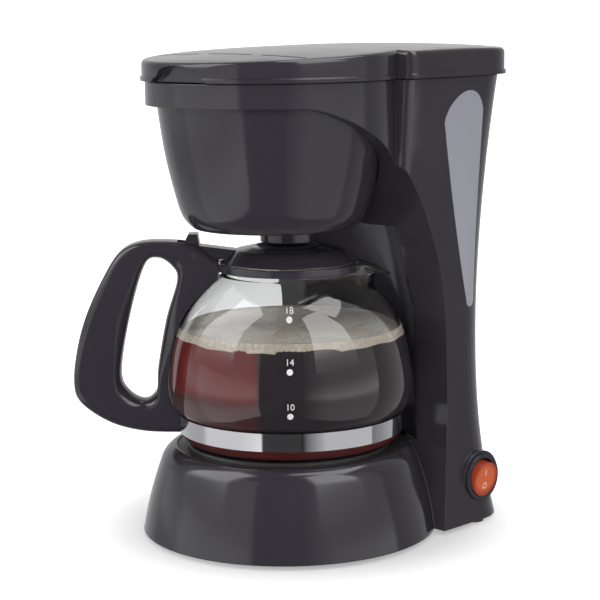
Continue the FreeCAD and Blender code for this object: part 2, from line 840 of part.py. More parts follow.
def water_hose(side, top_z):
    """A hose from a heater tail, down under the plate's ledge and up the tower."""
    x = side * pipe_x
    z = heater_z()
    end_y = math.sqrt(heater_r ** 2 - pipe_x ** 2) + hose_start
    points = [vec(x, end_y, z), vec(x, hose_dip_y, z), vec(x, hose_run_y, hose_low_z),
              vec(x, pipe_y, hose_low_z), vec(x, pipe_y, top_z)]
    return routed_tube(points, hose_bend, pipe_r + hose_fit + hose_t, pipe_r + hose_fit)


def riser_tube():
    return tube(pipe_r, pipe_bore_r, riser_foot_z, riser_top_z, pipe_x, pipe_y)


def riser_grommet():
    floor_top = seam_z + tank_floor_t
    ring = cylinder(grommet_r, seam_z, floor_top, pipe_x, pipe_y)
    ring = ring.fuse(cylinder(grommet_flange_r, floor_top, floor_top + grommet_flange_t, pipe_x, pipe_y))
    return ring.cut(cylinder(pipe_r, seam_z - 1, FAR, pipe_x, pipe_y))


def water_spout():
    """A socket on the riser and an arm that pours over the basket."""
    top = spout_z + spout_r + spout_cap_t
    solid = cylinder(pipe_r + hose_fit + socket_t, socket_foot_z, top, pipe_x, pipe_y)
    reach = vec(spout_reach_x - pipe_x, spout_reach_y - pipe_y, 0)
    start = vec(pipe_x, pipe_y, spout_z)
    solid = solid.fuse(Part.makeCylinder(spout_r, reach.Length, start, reach))
    solid = solid.cut(Part.makeCylinder(spout_bore_r, reach.Length + 1, start, reach))
    solid = solid.cut(cylinder(pipe_r + hose_fit, socket_foot_z - 1, riser_top_z + seat_gap, pipe_x, pipe_y))
    bore_top = spout_z + spout_r - spout_cap_t / 2
    return solid.cut(cylinder(pipe_bore_r, socket_foot_z, bore_top, pipe_x, pipe_y))


def bottom_cover():
    low, high = base_foot_z, base_foot_z + cover_t
    inset = wall + cover_gap
    disc = cylinder(base_foot_r - inset - cover_round_gap, low, high)
    half, back = tower_size(high)
    wire = plan(half - inset, tower_front + inset, back - inset, tower_front_corner - inset,
                tower_rear_corner - inset, low)
    tail = Part.Face(wire).extrude(vec(0, 0, cover_t)).cut(bay(inset))
    solid = disc.fuse(tail)
    for x, y in mirrored_spots([screw_front, screw_rear]):
        solid = solid.cut(cylinder(screw_r + gap, 0, high + 1, x, y))
    for x, y in mirrored_spots([foot_front, foot_rear]):
        solid = solid.cut(cylinder(foot_stud_r, 0, high + 1, x, y))
    return solid.removeSplitter()


def rubber_feet():
    feet = []
    for x, y in mirrored_spots([foot_front, foot_rear]):
        pad = cylinder(foot_r, 0, base_foot_z, x, y)
        feet.append(pad.fuse(cylinder(foot_stud_r, base_foot_z - 1, base_foot_z + foot_stud_rise, x, y)))
    return Part.makeCompound(feet)


def cover_screws():
    return Part.makeCompound([screw(x, y, base_foot_z, screw_length) for x, y in
                              mirrored_spots([screw_front, screw_rear])])


def tower_screws():
    return Part.makeCompound([screw(x, joint_screw_y, seam_z - wall, screw_length)
                              for x in (-joint_screw_x, joint_screw_x)])


def cord_gland():
    back = tower_size(gland_z)[1]
    solid = bar_y(gland_r, back - gland_length, back + gland_proud + gland_lap, gland_x, gland_z)
    solid = solid.fuse(bar_y(gland_flange_r, back + gland_proud, back + gland_flange_t, gland_x, gland_z))
    return solid.cut(bar_y(gland_bore_r, 0, FAR, gland_x, gland_z))


def carafe_place(shape):
    shape.rotate(vec(0, 0, 0), Z_AXIS, carafe_turn)
    shape.translate(vec(0, carafe_y, 0))
    return shape


def glass_form(inset):
    """The carafe's outer form, or its inside where inset is the glass."""
    foot = glass_foot_z + inset
    heel = vec(glass_foot_r - inset / 2, 0, foot)
    groove = glass_groove_r - inset
    toe = vec(groove, 0, band_foot_z - band_room)
    ring = vec(groove, 0, band_foot_z + band_h + band_room)
    bend = vec(heel.x + (toe.x - heel.x) * heel_lean, 0, foot + (toe.z - foot) * heel_rise)
    turn = Part.Arc(heel, bend, toe).toShape()
    body = [ring] + [vec(r - inset, 0, z) for r, z in glass_profile]
    neck = vec(neck_r - inset, 0, neck_top_z + inset)
    edges = [turn] + lines([toe, ring]) + [spline(body)]
    edges += lines([body[-1], neck, vec(0, 0, neck.z), vec(0, 0, foot), heel])
    return turned(edges)


def pour_form(inset):
    """The pouring spout: a tapering round trough out of the neck."""
    axis = vec(1, 0, pour_rise)
    root = Part.Wire(Part.makeCircle(pour_root_r - inset, vec(pour_root_x, 0, pour_root_z), axis))
    middle_x = (pour_root_x + pour_tip_x) / 2
    middle = Part.Wire(Part.makeCircle(pour_middle_r - inset, vec(middle_x, 0, pour_middle_z), axis))
    tip = Part.Wire(Part.makeCircle(pour_tip_r - inset, vec(pour_tip_x, 0, pour_tip_z), axis))
    return Part.makeLoft([root, middle, tip], True, False)


def carafe_glass():
    top = block((-FAR, -FAR, neck_top_z), (FAR, FAR, FAR))
    spout = pour_form(0).cut(block((-FAR, -FAR, 0), (pour_cut_x, FAR, FAR)))
    solid = glass_form(0).fuse(spout.cut(top)).cut(glass_form(glass_t)).cut(pour_form(pour_wall))
    beyond = bar_x(pour_tip_r - pour_wall, pour_tip_x - pour_wall, pour_tip_x + pour_mouth, 0, pour_tip_z)
    return solid.cut(beyond).cut(top)


def carafe_collar():
    ring = tube(collar_r, neck_r + collar_clear, collar_foot_z, collar_top_z)
    return ring.cut(pour_form(-collar_pour_clear)).cut(glass_form(-collar_clear))


def carafe_handle():
    outer = [vec(x, 0, z) for x, z in handle_outer]
    inside = [outer[-1], vec(handle_root_x, 0, outer[-1].z), vec(handle_root_x, 0, outer[0].z), outer[0]]
    face = Part.Face(Part.Wire([spline(outer)] + lines(inside)))
    hole = [vec(x, 0, z) for x, z in handle_opening]
    loop = Part.BSplineCurve()
    loop.interpolate(Points=hole, PeriodicFlag=True)
    opening = Part.Face(Part.Wire(loop.toShape()))
    face.translate(vec(0, -handle_half, 0))
    opening.translate(vec(0, -handle_half - 1, 0))
    solid = face.extrude(vec(0, 2 * handle_half, 0)).cut(opening.extrude(vec(0, 2 * handle_half + 2, 0)))
    loops = [edge for edge in solid.Edges if edge.BoundBox.YLength < gap]
    solid = solid.makeFillet(handle_round, [edge for edge in loops if edge.Length > handle_loop_least])
    solid = solid.cut(glass_form(-handle_glass_gap))
    collar_room_z = collar_foot_z - handle_collar_drop
    solid = solid.cut(cylinder(collar_r + handle_collar_gap, collar_room_z, FAR))
    solid = solid.cut(cylinder(band_r + handle_band_gap, band_foot_z - handle_band_room,
                               band_foot_z + band_h + handle_band_room))
    solid = solid.cut(block((carafe_pin_x - lug_room_back, -lug_half - gap, carafe_pin_z - lug_room_down),
                            (0, lug_half + gap, FAR)))
    band_top = band_foot_z + band_h
    slot_half = band_lug_t + band_lug_gap
    solid = solid.cut(block((band_lug_x - gap, -slot_half, band_foot_z - FAR),
                            (0, slot_half, band_top + band_lug_gap)))
    screw_z = band_foot_z + band_h / 2
    screw_end = -band_screw_reach - band_screw_end
    head_low = handle_half - band_screw_head_t - band_screw_sink
    solid = solid.cut(bar_y(band_screw_r + pin_clear, screw_end, FAR, band_screw_x, screw_z))
    solid = solid.cut(bar_y(band_screw_head_r + gap / 2, head_low, FAR, band_screw_x, screw_z))
    return solid.cut(bar_y(carafe_pin_r + pin_clear, -FAR, FAR, carafe_pin_x, carafe_pin_z))


def carafe_lid():
    dish_low = dome_dish_z - dome_t
    dome = turned_points([
        (inlet_r, dish_low), (dome_dish_r, dish_low), (dome_crown_r, dome_crown_z - dome_t),
        (dome_shoulder_r - dome_t / 2, dome_shoulder_z - dome_t), (dome_r - dome_t, dome_foot_z),
        (dome_r, dome_foot_z), (dome_shoulder_r, dome_shoulder_z), (dome_crown_r, dome_crown_z),
        (dome_dish_r, dome_dish_z), (inlet_r, dome_dish_z),
    ])
    arm_root_x = arm_root_in - dome_shoulder_r
    arm_side = [
        vec(arm_root_x, 0, arm_root_z), vec(carafe_pin_x, 0, carafe_pin_z - arm_drop),
        vec(carafe_pin_x - arm_drop, 0, carafe_pin_z),
        vec(carafe_pin_x - tab_length / 3, 0, tab_top_z - tab_toe),
        vec(carafe_pin_x - tab_back, 0, tab_top_z), vec(carafe_pin_x + tab_front, 0, tab_top_z),
        vec(carafe_pin_x + tab_toe, 0, carafe_pin_z + arm_rise), vec(arm_root_x, 0, dome_shoulder_z),
    ]
    face = Part.Face(Part.Wire(lines(arm_side + arm_side[:1])))
    face.translate(vec(0, -lug_half, 0))
    arm = face.extrude(vec(0, 2 * lug_half, 0))
    arm = arm.cut(cylinder(dome_shoulder_r - dome_t, 0, FAR))
    return dome.fuse(arm).cut(bar_y(carafe_pin_r + pin_clear, -FAR, FAR, carafe_pin_x, carafe_pin_z))


def steel_band():
    ring = cylinder(band_r, band_foot_z, band_foot_z + band_h)
    lug = block((band_lug_x, -band_lug_t, band_foot_z), (-glass_groove_r, band_lug_t, band_foot_z + band_h))
    solid = ring.fuse(lug).cut(cylinder(glass_groove_r + band_lug_gap, 0, FAR))
    return solid.cut(bar_y(band_screw_r + gap / 2, -FAR, FAR, band_screw_x, band_foot_z + band_h / 2))


def band_screw():
    z = band_foot_z + band_h / 2
    shank = bar_y(band_screw_r, -band_screw_reach, handle_half - band_screw_head_t, band_screw_x, z)
    head_top = handle_half - band_screw_sink
    return shank.fuse(bar_y(band_screw_head_r, head_top - band_screw_head_t, head_top, band_screw_x, z))


def carafe_lid_pin():
    return bar_y(carafe_pin_r, -carafe_pin_half, carafe_pin_half, carafe_pin_x, carafe_pin_z)


def lid_hinge_pin():
    reach = lid_knuckle_half + gap + ear_length
    return bar_x(lid_pin_r, -reach, reach, lid_hinge_y, lid_hinge_z)


def switch_pivot():
    return vec(switch_face_x - rocker_pivot_in, switch_y, switch_z)


def switch_body():
    inner_x = switch_face_x - switch_barrel_length
    solid = bar_x(switch_barrel_r, inner_x, switch_face_x, switch_y, switch_z)
    solid = solid.fuse(bar_x(bezel_r, switch_face_x, switch_face_x + bezel_t, switch_y, switch_z))
    solid = solid.cut(bar_x(switch_pocket_r, switch_face_x - switch_pocket_depth, FAR, switch_y, switch_z))
    pivot = switch_pivot()
    reach = switch_barrel_r - pivot_wall
    return solid.cut(bar_y(rocker_pin_r + pin_clear, switch_y - reach, switch_y + reach, pivot.x, pivot.z))


def rocker_cap():
    front = switch_face_x + bezel_t + rocker_proud
    pivot = switch_pivot()
    cap = bar_x(rocker_r, front - rocker_t, front, switch_y, switch_z)
    reach = switch_pocket_r + rocker_pin_reach
    cap = cap.fuse(bar_y(rocker_pin_r, switch_y - reach, switch_y + reach, pivot.x, pivot.z))
    cap.rotate(pivot, vec(0, 1, 0), rocker_tilt)
    return cap


def switch_terminals():
    inner_x = switch_face_x - switch_barrel_length
    blades = []
    for i in (-1, 0, 1):
        z = switch_z + i * blade_pitch
        blades.append(block((inner_x - blade_length, switch_y - blade_width / 2, z - blade_t / 2),
                            (inner_x, switch_y + blade_width / 2, z + blade_t / 2)))
    return Part.makeCompound(blades)


def neon_lamp():
    x = switch_face_x - switch_pocket_depth + lamp_r
    return cylinder(lamp_r, switch_z - lamp_half, switch_z + lamp_half, x, switch_y)


CARAFE_PIECES = {
    "carafe_glass": carafe_glass,
    "carafe_collar": carafe_collar,
    "carafe_handle": carafe_handle,
    "carafe_lid": carafe_lid,
    "carafe_lid_pin": carafe_lid_pin,
    "steel_band": steel_band,
    "band_screw": band_screw,
}

MACHINE_PIECES = {
    "base_housing": base_housing,
    "upper_housing": upper_housing,
    "bottom_cover": bottom_cover,
    "rubber_feet": rubber_feet,
    "cover_screws": cover_screws,
    "tower_screws": tower_screws,
    "cord_gland": cord_gland,
    "tank_window_right": lambda: tank_window(1),
    "tank_window_left": lambda: tank_window(-1),
    "riser_tube": riser_tube,
    "riser_grommet": riser_grommet,
    "water_spout": water_spout,
    "inlet_hose": lambda: water_hose(-1, seam_z - spigot_length + hose_grip),
    "outlet_hose": lambda: water_hose(1, riser_foot_z + hose_grip),
    "warming_plate": warming_plate,
    "plate_seal": plate_seal,
    "heater_element": heater_element,
    "heater_clamp": heater_clamp,
    "clamp_nut": clamp_nut,
    "thermostat": thermostat,
    "thermal_fuse": thermal_fuse,
    "switch_body": switch_body,
    "switch_terminals": switch_terminals,
    "neon_lamp": neon_lamp,
    "rocker_cap": rocker_cap,
    "brew_bowl": brew_bowl,
    "filter_basket": filter_basket,
    "mesh_filter": mesh_filter,
    "valve_cage": valve_cage,
    "drip_valve": drip_valve,
    "valve_seal": valve_seal,
    "valve_spring": valve_spring,
    "top_lid": top_lid,
    "lid_hinge_pin": lid_hinge_pin,
}


def main():
    os.makedirs("parts", exist_ok=True)
    for name, make in MACHINE_PIECES.items():
        save(make(), name)
    for name, make in CARAFE_PIECES.items():
        save(carafe_place(make()), name)


main()
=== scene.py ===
import bpy
import json
import math
from mathutils import Matrix, Vector


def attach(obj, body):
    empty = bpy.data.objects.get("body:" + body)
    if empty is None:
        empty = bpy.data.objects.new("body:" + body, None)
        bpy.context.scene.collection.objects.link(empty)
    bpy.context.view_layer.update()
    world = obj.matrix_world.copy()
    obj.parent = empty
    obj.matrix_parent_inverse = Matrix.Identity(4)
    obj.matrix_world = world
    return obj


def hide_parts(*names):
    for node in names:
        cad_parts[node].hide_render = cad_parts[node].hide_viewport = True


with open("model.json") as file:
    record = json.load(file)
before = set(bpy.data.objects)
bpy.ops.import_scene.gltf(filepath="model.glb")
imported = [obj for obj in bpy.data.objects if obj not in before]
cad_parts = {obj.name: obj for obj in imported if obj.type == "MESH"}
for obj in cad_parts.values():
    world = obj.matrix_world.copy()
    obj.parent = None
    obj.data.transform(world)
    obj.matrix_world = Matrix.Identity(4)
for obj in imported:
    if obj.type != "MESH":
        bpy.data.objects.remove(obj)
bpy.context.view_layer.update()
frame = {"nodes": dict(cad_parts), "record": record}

# Sizes here are millimetres in the frame's own axes, and MM turns them into metres.
MM = 0.001
CARAFE_Y = 2.0
CARAFE_TURN = 45.0
VIEW_BEARING = -45.0
SPIN_STEPS = 128
FINE_STEPS = 192

# Points nearer than this are joined: on a turned piece, on a copied node and on a print
TURN_JOIN = 0.005
COPY_JOIN = 0.002
PRINT_JOIN = 0.001

# Edges that turn by more than this, in degrees, stay sharp: in general, on glass and foam, on the grip
EDGE_ANGLE = 38
GLASS_EDGE_ANGLE = 60
GRIP_EDGE_ANGLE = 50

# Glass of the carafe, radius and height up the outside
GLASS_WALL = 2.2
GLASS_FOOT_Z = 49.8
GLASS_HEEL = [(50.0, 49.8), (57.4, 51.8), (60.6, 56.4)]
GLASS_SIDE = [
    (60.6, 66.7), (64.0, 70.6), (66.2, 83.0), (63.0, 104.5), (56.4, 120.8), (45.5, 133.4), (36.4, 141.0),
]
GLASS_NECK_R = 36.0
GLASS_LIP_Z = 147.2
GLASS_LIP_STEP = 4.0
GLASS_LIP_ROUND = 0.9

# Pouring spout: how far the lip reaches out and drops, and over how many degrees this fades
POUR_REACH = 20.0
POUR_DROP = 7.5
POUR_SPREAD = 21.0
POUR_ROOT_Z = 133.0
POUR_POWER = 1.3

# Coffee and foam, with the waves of the foam's edge as height, count and start
COFFEE_Z = 110.0
FOAM_Z = 112.6
FOAM_WAVES = ((0.45, 3, 0.6), (0.3, 7, 2.1), (0.25, 17, 0.0))

# Steel band and neck collar
BAND_R = 61.4
BAND_FOOT_Z = 56.8
BAND_TOP_Z = 66.3
COLLAR_R = 39.0

# Carafe handle in its own plane, x and z, with a point in its opening from which its sections fan out
HANDLE_HALF = 9.5
HANDLE_EYE = (-77.0, 112.0)
HANDLE_OUTER = [
    (-49.8, 157.6), (-64.0, 159.3), (-80.0, 158.8), (-91.0, 153.5), (-99.6, 140.6), (-109.0, 121.1),
    (-114.6, 103.0), (-117.2, 84.0), (-114.0, 72.2), (-98.4, 61.0), (-80.0, 55.8), (-60.0, 54.9),
]
HANDLE_ROOT = [
    (-30.0, 54.9), (-25.0, 75.0), (-22.0, 110.0), (-24.0, 140.0), (-26.0, 147.5), (-40.0, 150.0),
    (-46.0, 154.8),
]
HANDLE_OPENING = [
    (-70.3, 150.3), (-62.9, 145.6), (-60.4, 138.1), (-66.6, 117.3), (-71.6, 91.2), (-72.6, 78.5),
    (-78.9, 72.7), (-87.3, 76.7), (-91.8, 87.3), (-86.9, 116.7), (-77.9, 145.8),
]
HANDLE_INNER_ROUND = 7.5
HANDLE_OUTER_ROUND = 4.5
HANDLE_SECTIONS = 180
HANDLE_STEPS = 8
HANDLE_PIN = (-51.8, 151.7)
HANDLE_PIN_R = 1.56
HANDLE_SCREW_X = -67.0
HANDLE_SCREW_FLOOR_Y = 7.5
HANDLE_SCREW_R = 3.0

# Rocker of the switch: the middle of its face before it is tipped, and its pivot
ROCKER_FACE = (73.7, 79.0, 25.2)
ROCKER_PIVOT = (67.8, 79.0, 25.2)
ROCKER_TIP = 8.0
ROCKER_MARK_UP = 3.8

# Level marks of the carafe: the number, its height and the height of its dot
LEVELS = (("18", 128.6, 124.5), ("14", 104.0, 99.3), ("10", 81.4, 76.6))
LEVEL_SIZE = 4.6
LEVEL_DOT_R = 1.6
PRINT_THICK = 0.12
PRINT_LIFT = 0.08

# Lid: what lies above its rim is raised towards the front
LID_RIM_Z = 249.0
LID_LIFT = 2.2
LID_LIFT_BACK = 40.0
LID_LIFT_FRONT = -77.0

# Stretches over which the colour changes: the rocker's painted shade at its rim, the coffee's painted red
# light, the windows' paler foot and the floor's painted shadow round the object
ROCKER_MIDDLE = (70.3, 79.0, 25.2)
ROCKER_RIM_SHADE = (7.2, 9.8)
PAINTED_GLOW_SIDE = (-19.0, -25.0)
PAINTED_GLOW_UPPER = (80.0, 85.0)
PAINTED_GLOW_FOOT = (60.0, 56.5)
WINDOW_FALL = (232.0, 165.0)
PAINTED_SHADOW_MIDDLE = (0.0, 15.0, 0.0)
PAINTED_SHADOW_REACH = (85.0, 150.0)

# Strengths of the finishes and of the room's light, and the depth of the orange peel
GLOSS_LEVEL = 0.36
PEEL_DEPTH = 0.05
# The floor's glow near the object is lowered, as painted shadow
FLOOR_NEAR_LIFT = 0.34
FLOOR_GLASS_LIFT = 0.4
ROOM_DIFFUSE = 0.62

# Stage, in metres and degrees
FLOOR_SIZE = 30.0
CAMERA_PLACE = (0.6817, -0.6718, 0.2839)
CAMERA_TURN = 45.0
CAMERA_PITCH = 9.36
CAMERA_ROLL = -0.67
CAMERA_LENS = 107.9
CAMERA_SENSOR = 36.0

# Light: (place, level) stops from the left to the right, from the bottom up, and from behind to the front
BOX_DISTANCE = 1.4
BOX_HEIGHTS = (-1.2, 1.8)
BOX_POWER = 1.75
LEFT_ACROSS = [(0.0, 0.5), (0.34, 0.62), (0.4, 1.0), (0.98, 1.0), (1.0, 0.0)]
LEFT_UP = [
    (0.0, 0.8), (0.2, 0.8), (0.3, 0.5), (0.355, 0.55), (0.395, 1.0), (0.43, 0.9), (0.5, 0.5), (1.0, 0.45),
]
RIGHT_ACROSS = [(0.0, 0.0), (0.11, 0.35), (0.27, 0.75), (0.34, 1.0), (0.97, 1.0), (1.0, 0.0)]
RIGHT_UP = [
    (0.0, 0.45), (0.2, 0.45), (0.3, 0.40), (0.355, 0.46), (0.395, 1.1), (0.42, 0.8), (0.46, 0.4),
    (1.0, 0.45),
]
STRIP_RISE = [(0.0, 0.16), (0.06, 0.24), (0.2, 1.0), (1.0, 1.0)]
EVEN = [(0.0, 1.0), (1.0, 1.0)]
ROOM_LEVELS = [(0.0, 0.7), (0.15, 0.62), (0.4, 0.36), (0.5, 0.27), (0.68, 0.06)]


def object_mode():
    if bpy.context.object and bpy.context.object.mode != "OBJECT":
        bpy.ops.object.mode_set(mode="OBJECT")


def clear_selection():
    object_mode()
    bpy.ops.object.select_all(action="DESELECT")


def take_up(piece):
    """Makes a piece the only one selected, and the active one."""
    clear_selection()
    piece.select_set(True)
    bpy.context.view_layer.objects.active = piece


def edit_all(piece):
    take_up(piece)
    bpy.ops.object.mode_set(mode="EDIT")
    bpy.ops.mesh.select_all(action="SELECT")


def draw_line(name, points):
    """A run of edges, drawn by extruding one point after another."""
    clear_selection()
    bpy.ops.mesh.primitive_plane_add(size=MM)
    piece = bpy.context.object
    piece.name = piece.data.name = name
    bpy.ops.object.mode_set(mode="EDIT")
    bpy.ops.mesh.merge(type="CENTER")
    bpy.ops.transform.translate(value=points[0])
    for here, there in zip(points, points[1:]):
        bpy.ops.mesh.extrude_region_move(TRANSFORM_OT_translate={"value": there - here})
    return piece


def through(points, steps=6):
    """A smooth run through the points of a profile, with a few steps between each two."""
    ends = [points[0]] + list(points) + [points[-1]]
    run = []
    for a, b, c, d in zip(ends, ends[1:], ends[2:], ends[3:]):
        for k in range(steps):
            t = k / steps
            run.append(tuple(
                0.5 * (2 * b[i] + (c[i] - a[i]) * t + (2 * a[i] - 5 * b[i] + 4 * c[i] - d[i]) * t ** 2
                       + (3 * b[i] - a[i] - 3 * c[i] + d[i]) * t ** 3) for i in range(2)))
    return run + [tuple(points[-1])]


def rounded(corners, steps=5):
    """The points of a run whose corners, (r, z, radius), are rounded off."""
    points = []
    for i, (r, z, radius) in enumerate(corners):
        here = Vector((r, z))
        if radius == 0:
            points.append((r, z))
            continue
        back = (Vector(corners[i - 1][:2]) - here).normalized()
        ahead = (Vector(corners[i + 1][:2]) - here).normalized()
        half = back.angle(ahead) / 2
        centre = here + (back + ahead).normalized() * radius / math.sin(half)
        start = here + back * radius / math.tan(half) - centre
        stop = here + ahead * radius / math.tan(half) - centre
        points += [tuple(centre + start.slerp(stop, k / steps)) for k in range(steps + 1)]
    return points


def turn(name, profile, y, steps=SPIN_STEPS):
    """A piece turned about the upright axis at y from a run of (radius, height)."""
    piece = draw_line(name, [Vector((r, y, z)) * MM for r, z in profile])
    bpy.ops.mesh.select_all(action="SELECT")
    bpy.ops.mesh.spin(steps=steps, angle=math.tau, center=(0, y * MM, 0), axis=(0, 0, 1))
    bpy.ops.mesh.select_all(action="SELECT")
    bpy.ops.mesh.remove_doubles(threshold=TURN_JOIN * MM)
    bpy.ops.mesh.normals_make_consistent(inside=False)
    object_mode()
    return piece


def smooth(piece, angle=EDGE_ANGLE):
    take_up(piece)
    bpy.ops.object.shade_smooth_by_angle(angle=math.radians(angle))


def joined_copy(node, name):
    """The node's own shape as one joined skin, so that its round faces shade smoothly."""
    source = frame["nodes"][node]
    piece = bpy.data.objects.new(name, source.data.copy())
    bpy.context.scene.collection.objects.link(piece)
    edit_all(piece)
    bpy.ops.mesh.customdata_custom_splitnormals_clear()
    bpy.ops.mesh.remove_doubles(threshold=COPY_JOIN * MM)
    object_mode()
    return piece


def finish_piece(piece, body, material, slot, *nodes):
    """Gives a piece its finish and body, and hides the nodes that it stands in for; the slot is not used."""
    piece.data.materials.clear()
    piece.data.materials.append(material)
    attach(piece, body)
    if nodes:
        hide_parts(*nodes)


# Finishes

def shader_group(name, inputs, outputs):
    tree = bpy.data.node_groups.new(name, "ShaderNodeTree")
    for label, kind, value in inputs:
        tree.interface.new_socket(label, in_out="INPUT", socket_type=kind).default_value = value
    for label, kind in outputs:
        tree.interface.new_socket(label, in_out="OUTPUT", socket_type=kind)
    return tree, tree.nodes.new("NodeGroupInput"), tree.nodes.new("NodeGroupOutput")


def noise(tree, vector, scale, detail):
    node = tree.nodes.new("ShaderNodeTexNoise")
    node.inputs["Detail"].default_value = detail
    tree.links.new(vector, node.inputs["Vector"])
    if isinstance(scale, (int, float)):
        node.inputs["Scale"].default_value = scale
    else:
        tree.links.new(scale, node.inputs["Scale"])
    return node.outputs["Fac"]


def spread(tree, value, stretch, onto=(0.0, 1.0)):
    """A value's stretch, from low to high, laid onto another."""
    node = tree.nodes.new("ShaderNodeMapRange")
    tree.links.new(value, node.inputs["Value"])
    for label, number in zip(("From Min", "From Max", "To Min", "To Max"), stretch + onto):
        node.inputs[label].default_value = number
    return node.outputs["Result"]


def fade(tree, place, stretch, onto=(0.0, 1.0)):
    """A value that changes while a place goes along a stretch, which is given in millimetres."""
    low, high = stretch
    return spread(tree, place, (low * MM, high * MM), onto)


def object_parts(tree):
    """The x, y and z of a point of the piece."""
    parts = tree.nodes.new("ShaderNodeSeparateXYZ")
    tree.links.new(tree.nodes.new("ShaderNodeTexCoord").outputs["Object"], parts.inputs["Vector"])
    return parts.outputs


def distance_from(tree, middle):
    """How far a point of the piece lies from a middle, which is given in millimetres."""
    reach = tree.nodes.new("ShaderNodeVectorMath")
    reach.operation = "DISTANCE"
    tree.links.new(tree.nodes.new("ShaderNodeTexCoord").outputs["Object"], reach.inputs[0])
    reach.inputs[1].default_value = Vector(middle) * MM
    return reach.outputs["Value"]


def mixed(tree, factor, first, second):
    node = tree.nodes.new("ShaderNodeMix")
    node.data_type = "RGBA"
    tree.links.new(factor, node.inputs["Factor"])
    colours = [s for s in node.inputs if s.type == "RGBA"]
    for socket, value in zip(colours, (first, second)):
        if isinstance(value, tuple):
            socket.default_value = value
        else:
            tree.links.new(value, socket)
    return [s for s in node.outputs if s.type == "RGBA"][0]


def maths(tree, operation, first, second):
    node = tree.nodes.new("ShaderNodeMath")
    node.operation = operation
    for socket, value in zip(node.inputs, (first, second)):
        if isinstance(value, (int, float)):
            socket.default_value = value
        else:
            tree.links.new(value, socket)
    return node.outputs["Value"]


def mixed_value(tree, factor, first, second):
    """The first value, or the second where the factor is one."""
    kept = maths(tree, "MULTIPLY", first, maths(tree, "SUBTRACT", 1.0, factor))
    return maths(tree, "ADD", kept, maths(tree, "MULTIPLY", factor, second))


def make_moulded_group():
    """Moulded plastic: faint flow marks in the colour, handling smears in the gloss, fine orange peel."""
    tree, start, end = shader_group(
        "moulded_plastic",
        [("Colour", "NodeSocketColor", (0.03, 0.03, 0.03, 1)),
         ("Worn Colour", "NodeSocketColor", (0.05, 0.05, 0.05, 1)),
         ("Gloss Low", "NodeSocketFloat", 0.1), ("Gloss High", "NodeSocketFloat", 0.2),
         ("Peel Scale", "NodeSocketFloat", 500.0)],
        [("Colour", "NodeSocketColor"), ("Roughness", "NodeSocketFloat"), ("Height", "NodeSocketFloat")])
    place = tree.nodes.new("ShaderNodeTexCoord").outputs["Object"]
    flow = spread(tree, noise(tree, place, scale=14.0, detail=4.0), (0.35, 0.7))
    colour = mixed(tree, flow, start.outputs["Colour"], start.outputs["Worn Colour"])
    tree.links.new(colour, end.inputs["Colour"])
    smear = spread(tree, noise(tree, place, scale=38.0, detail=6.0), (0.4, 0.75))
    width = maths(tree, "SUBTRACT", start.outputs["Gloss High"], start.outputs["Gloss Low"])
    rough = maths(tree, "ADD", start.outputs["Gloss Low"], maths(tree, "MULTIPLY", smear, width))
    tree.links.new(rough, end.inputs["Roughness"])
    tree.links.new(noise(tree, place, start.outputs["Peel Scale"], detail=2.0), end.inputs["Height"])
    return tree


MOULDED = make_moulded_group()


def new_material(name):
    material = bpy.data.materials.new(name)
    material.use_nodes = True
    return material, material.node_tree, material.node_tree.nodes["Principled BSDF"]


def place_group(tree, group, **values):
    node = tree.nodes.new("ShaderNodeGroup")
    node.node_tree = group
    for label, value in values.items():
        node.inputs[label.replace("_", " ")].default_value = value
    return node


def bump(tree, shader, height, strength, distance):
    node = tree.nodes.new("ShaderNodeBump")
    node.inputs["Strength"].default_value = strength
    node.inputs["Distance"].default_value = distance * MM
    tree.links.new(height, node.inputs["Height"])
    tree.links.new(node.outputs["Normal"], shader.inputs["Normal"])


def moulded(name, colour, worn, gloss, peel, peel_scale=500.0):
    """A moulded finish: its colours, the two ends of its roughness, and its orange peel."""
    material, tree, shader = new_material(name)
    node = place_group(tree, MOULDED, Colour=colour + (1,), Worn_Colour=worn + (1,), Gloss_Low=gloss[0],
                       Gloss_High=gloss[1], Peel_Scale=peel_scale)
    tree.links.new(node.outputs["Colour"], shader.inputs["Base Color"])
    tree.links.new(node.outputs["Roughness"], shader.inputs["Roughness"])
    bump(tree, shader, node.outputs["Height"], strength=peel, distance=PEEL_DEPTH)
    return material


def soften_edges(material, radius):
    """Rounds the shading over sharp moulded edges."""
    tree = material.node_tree
    edge = tree.nodes.new("ShaderNodeBevel")
    edge.samples = 6
    edge.inputs["Radius"].default_value = radius * MM
    tree.links.new(edge.outputs["Normal"], tree.nodes["Bump"].inputs["Normal"])


def metal(name, colour, worn, gloss):
    material = moulded(name, colour, worn, gloss, peel=0.02)
    material.node_tree.nodes["Principled BSDF"].inputs["Metallic"].default_value = 1.0
    return material


def clear_glass(name, colour, roughness, ior):
    material, tree, shader = new_material(name)
    shader.inputs["Base Color"].default_value = colour + (1,)
    shader.inputs["Transmission Weight"].default_value = 1.0
    shader.inputs["IOR"].default_value = ior
    place = tree.nodes.new("ShaderNodeTexCoord").outputs["Object"]
    smear = noise(tree, place, scale=60.0, detail=5.0)
    tree.links.new(spread(tree, smear, (0.4, 0.7), roughness), shader.inputs["Roughness"])
    return material


def make_rocker():
    """Orange plastic, with painted shade that darkens it towards the cap's rim."""
    material, tree, shader = new_material("orange_rocker")
    # painted shade: the orange darkens towards the rim
    rim = fade(tree, distance_from(tree, ROCKER_MIDDLE), ROCKER_RIM_SHADE)
    colour = mixed(tree, rim, (0.72, 0.135, 0.042, 1), (0.42, 0.05, 0.018, 1))
    tree.links.new(colour, shader.inputs["Base Color"])
    shader.inputs["Roughness"].default_value = 0.14
    return material


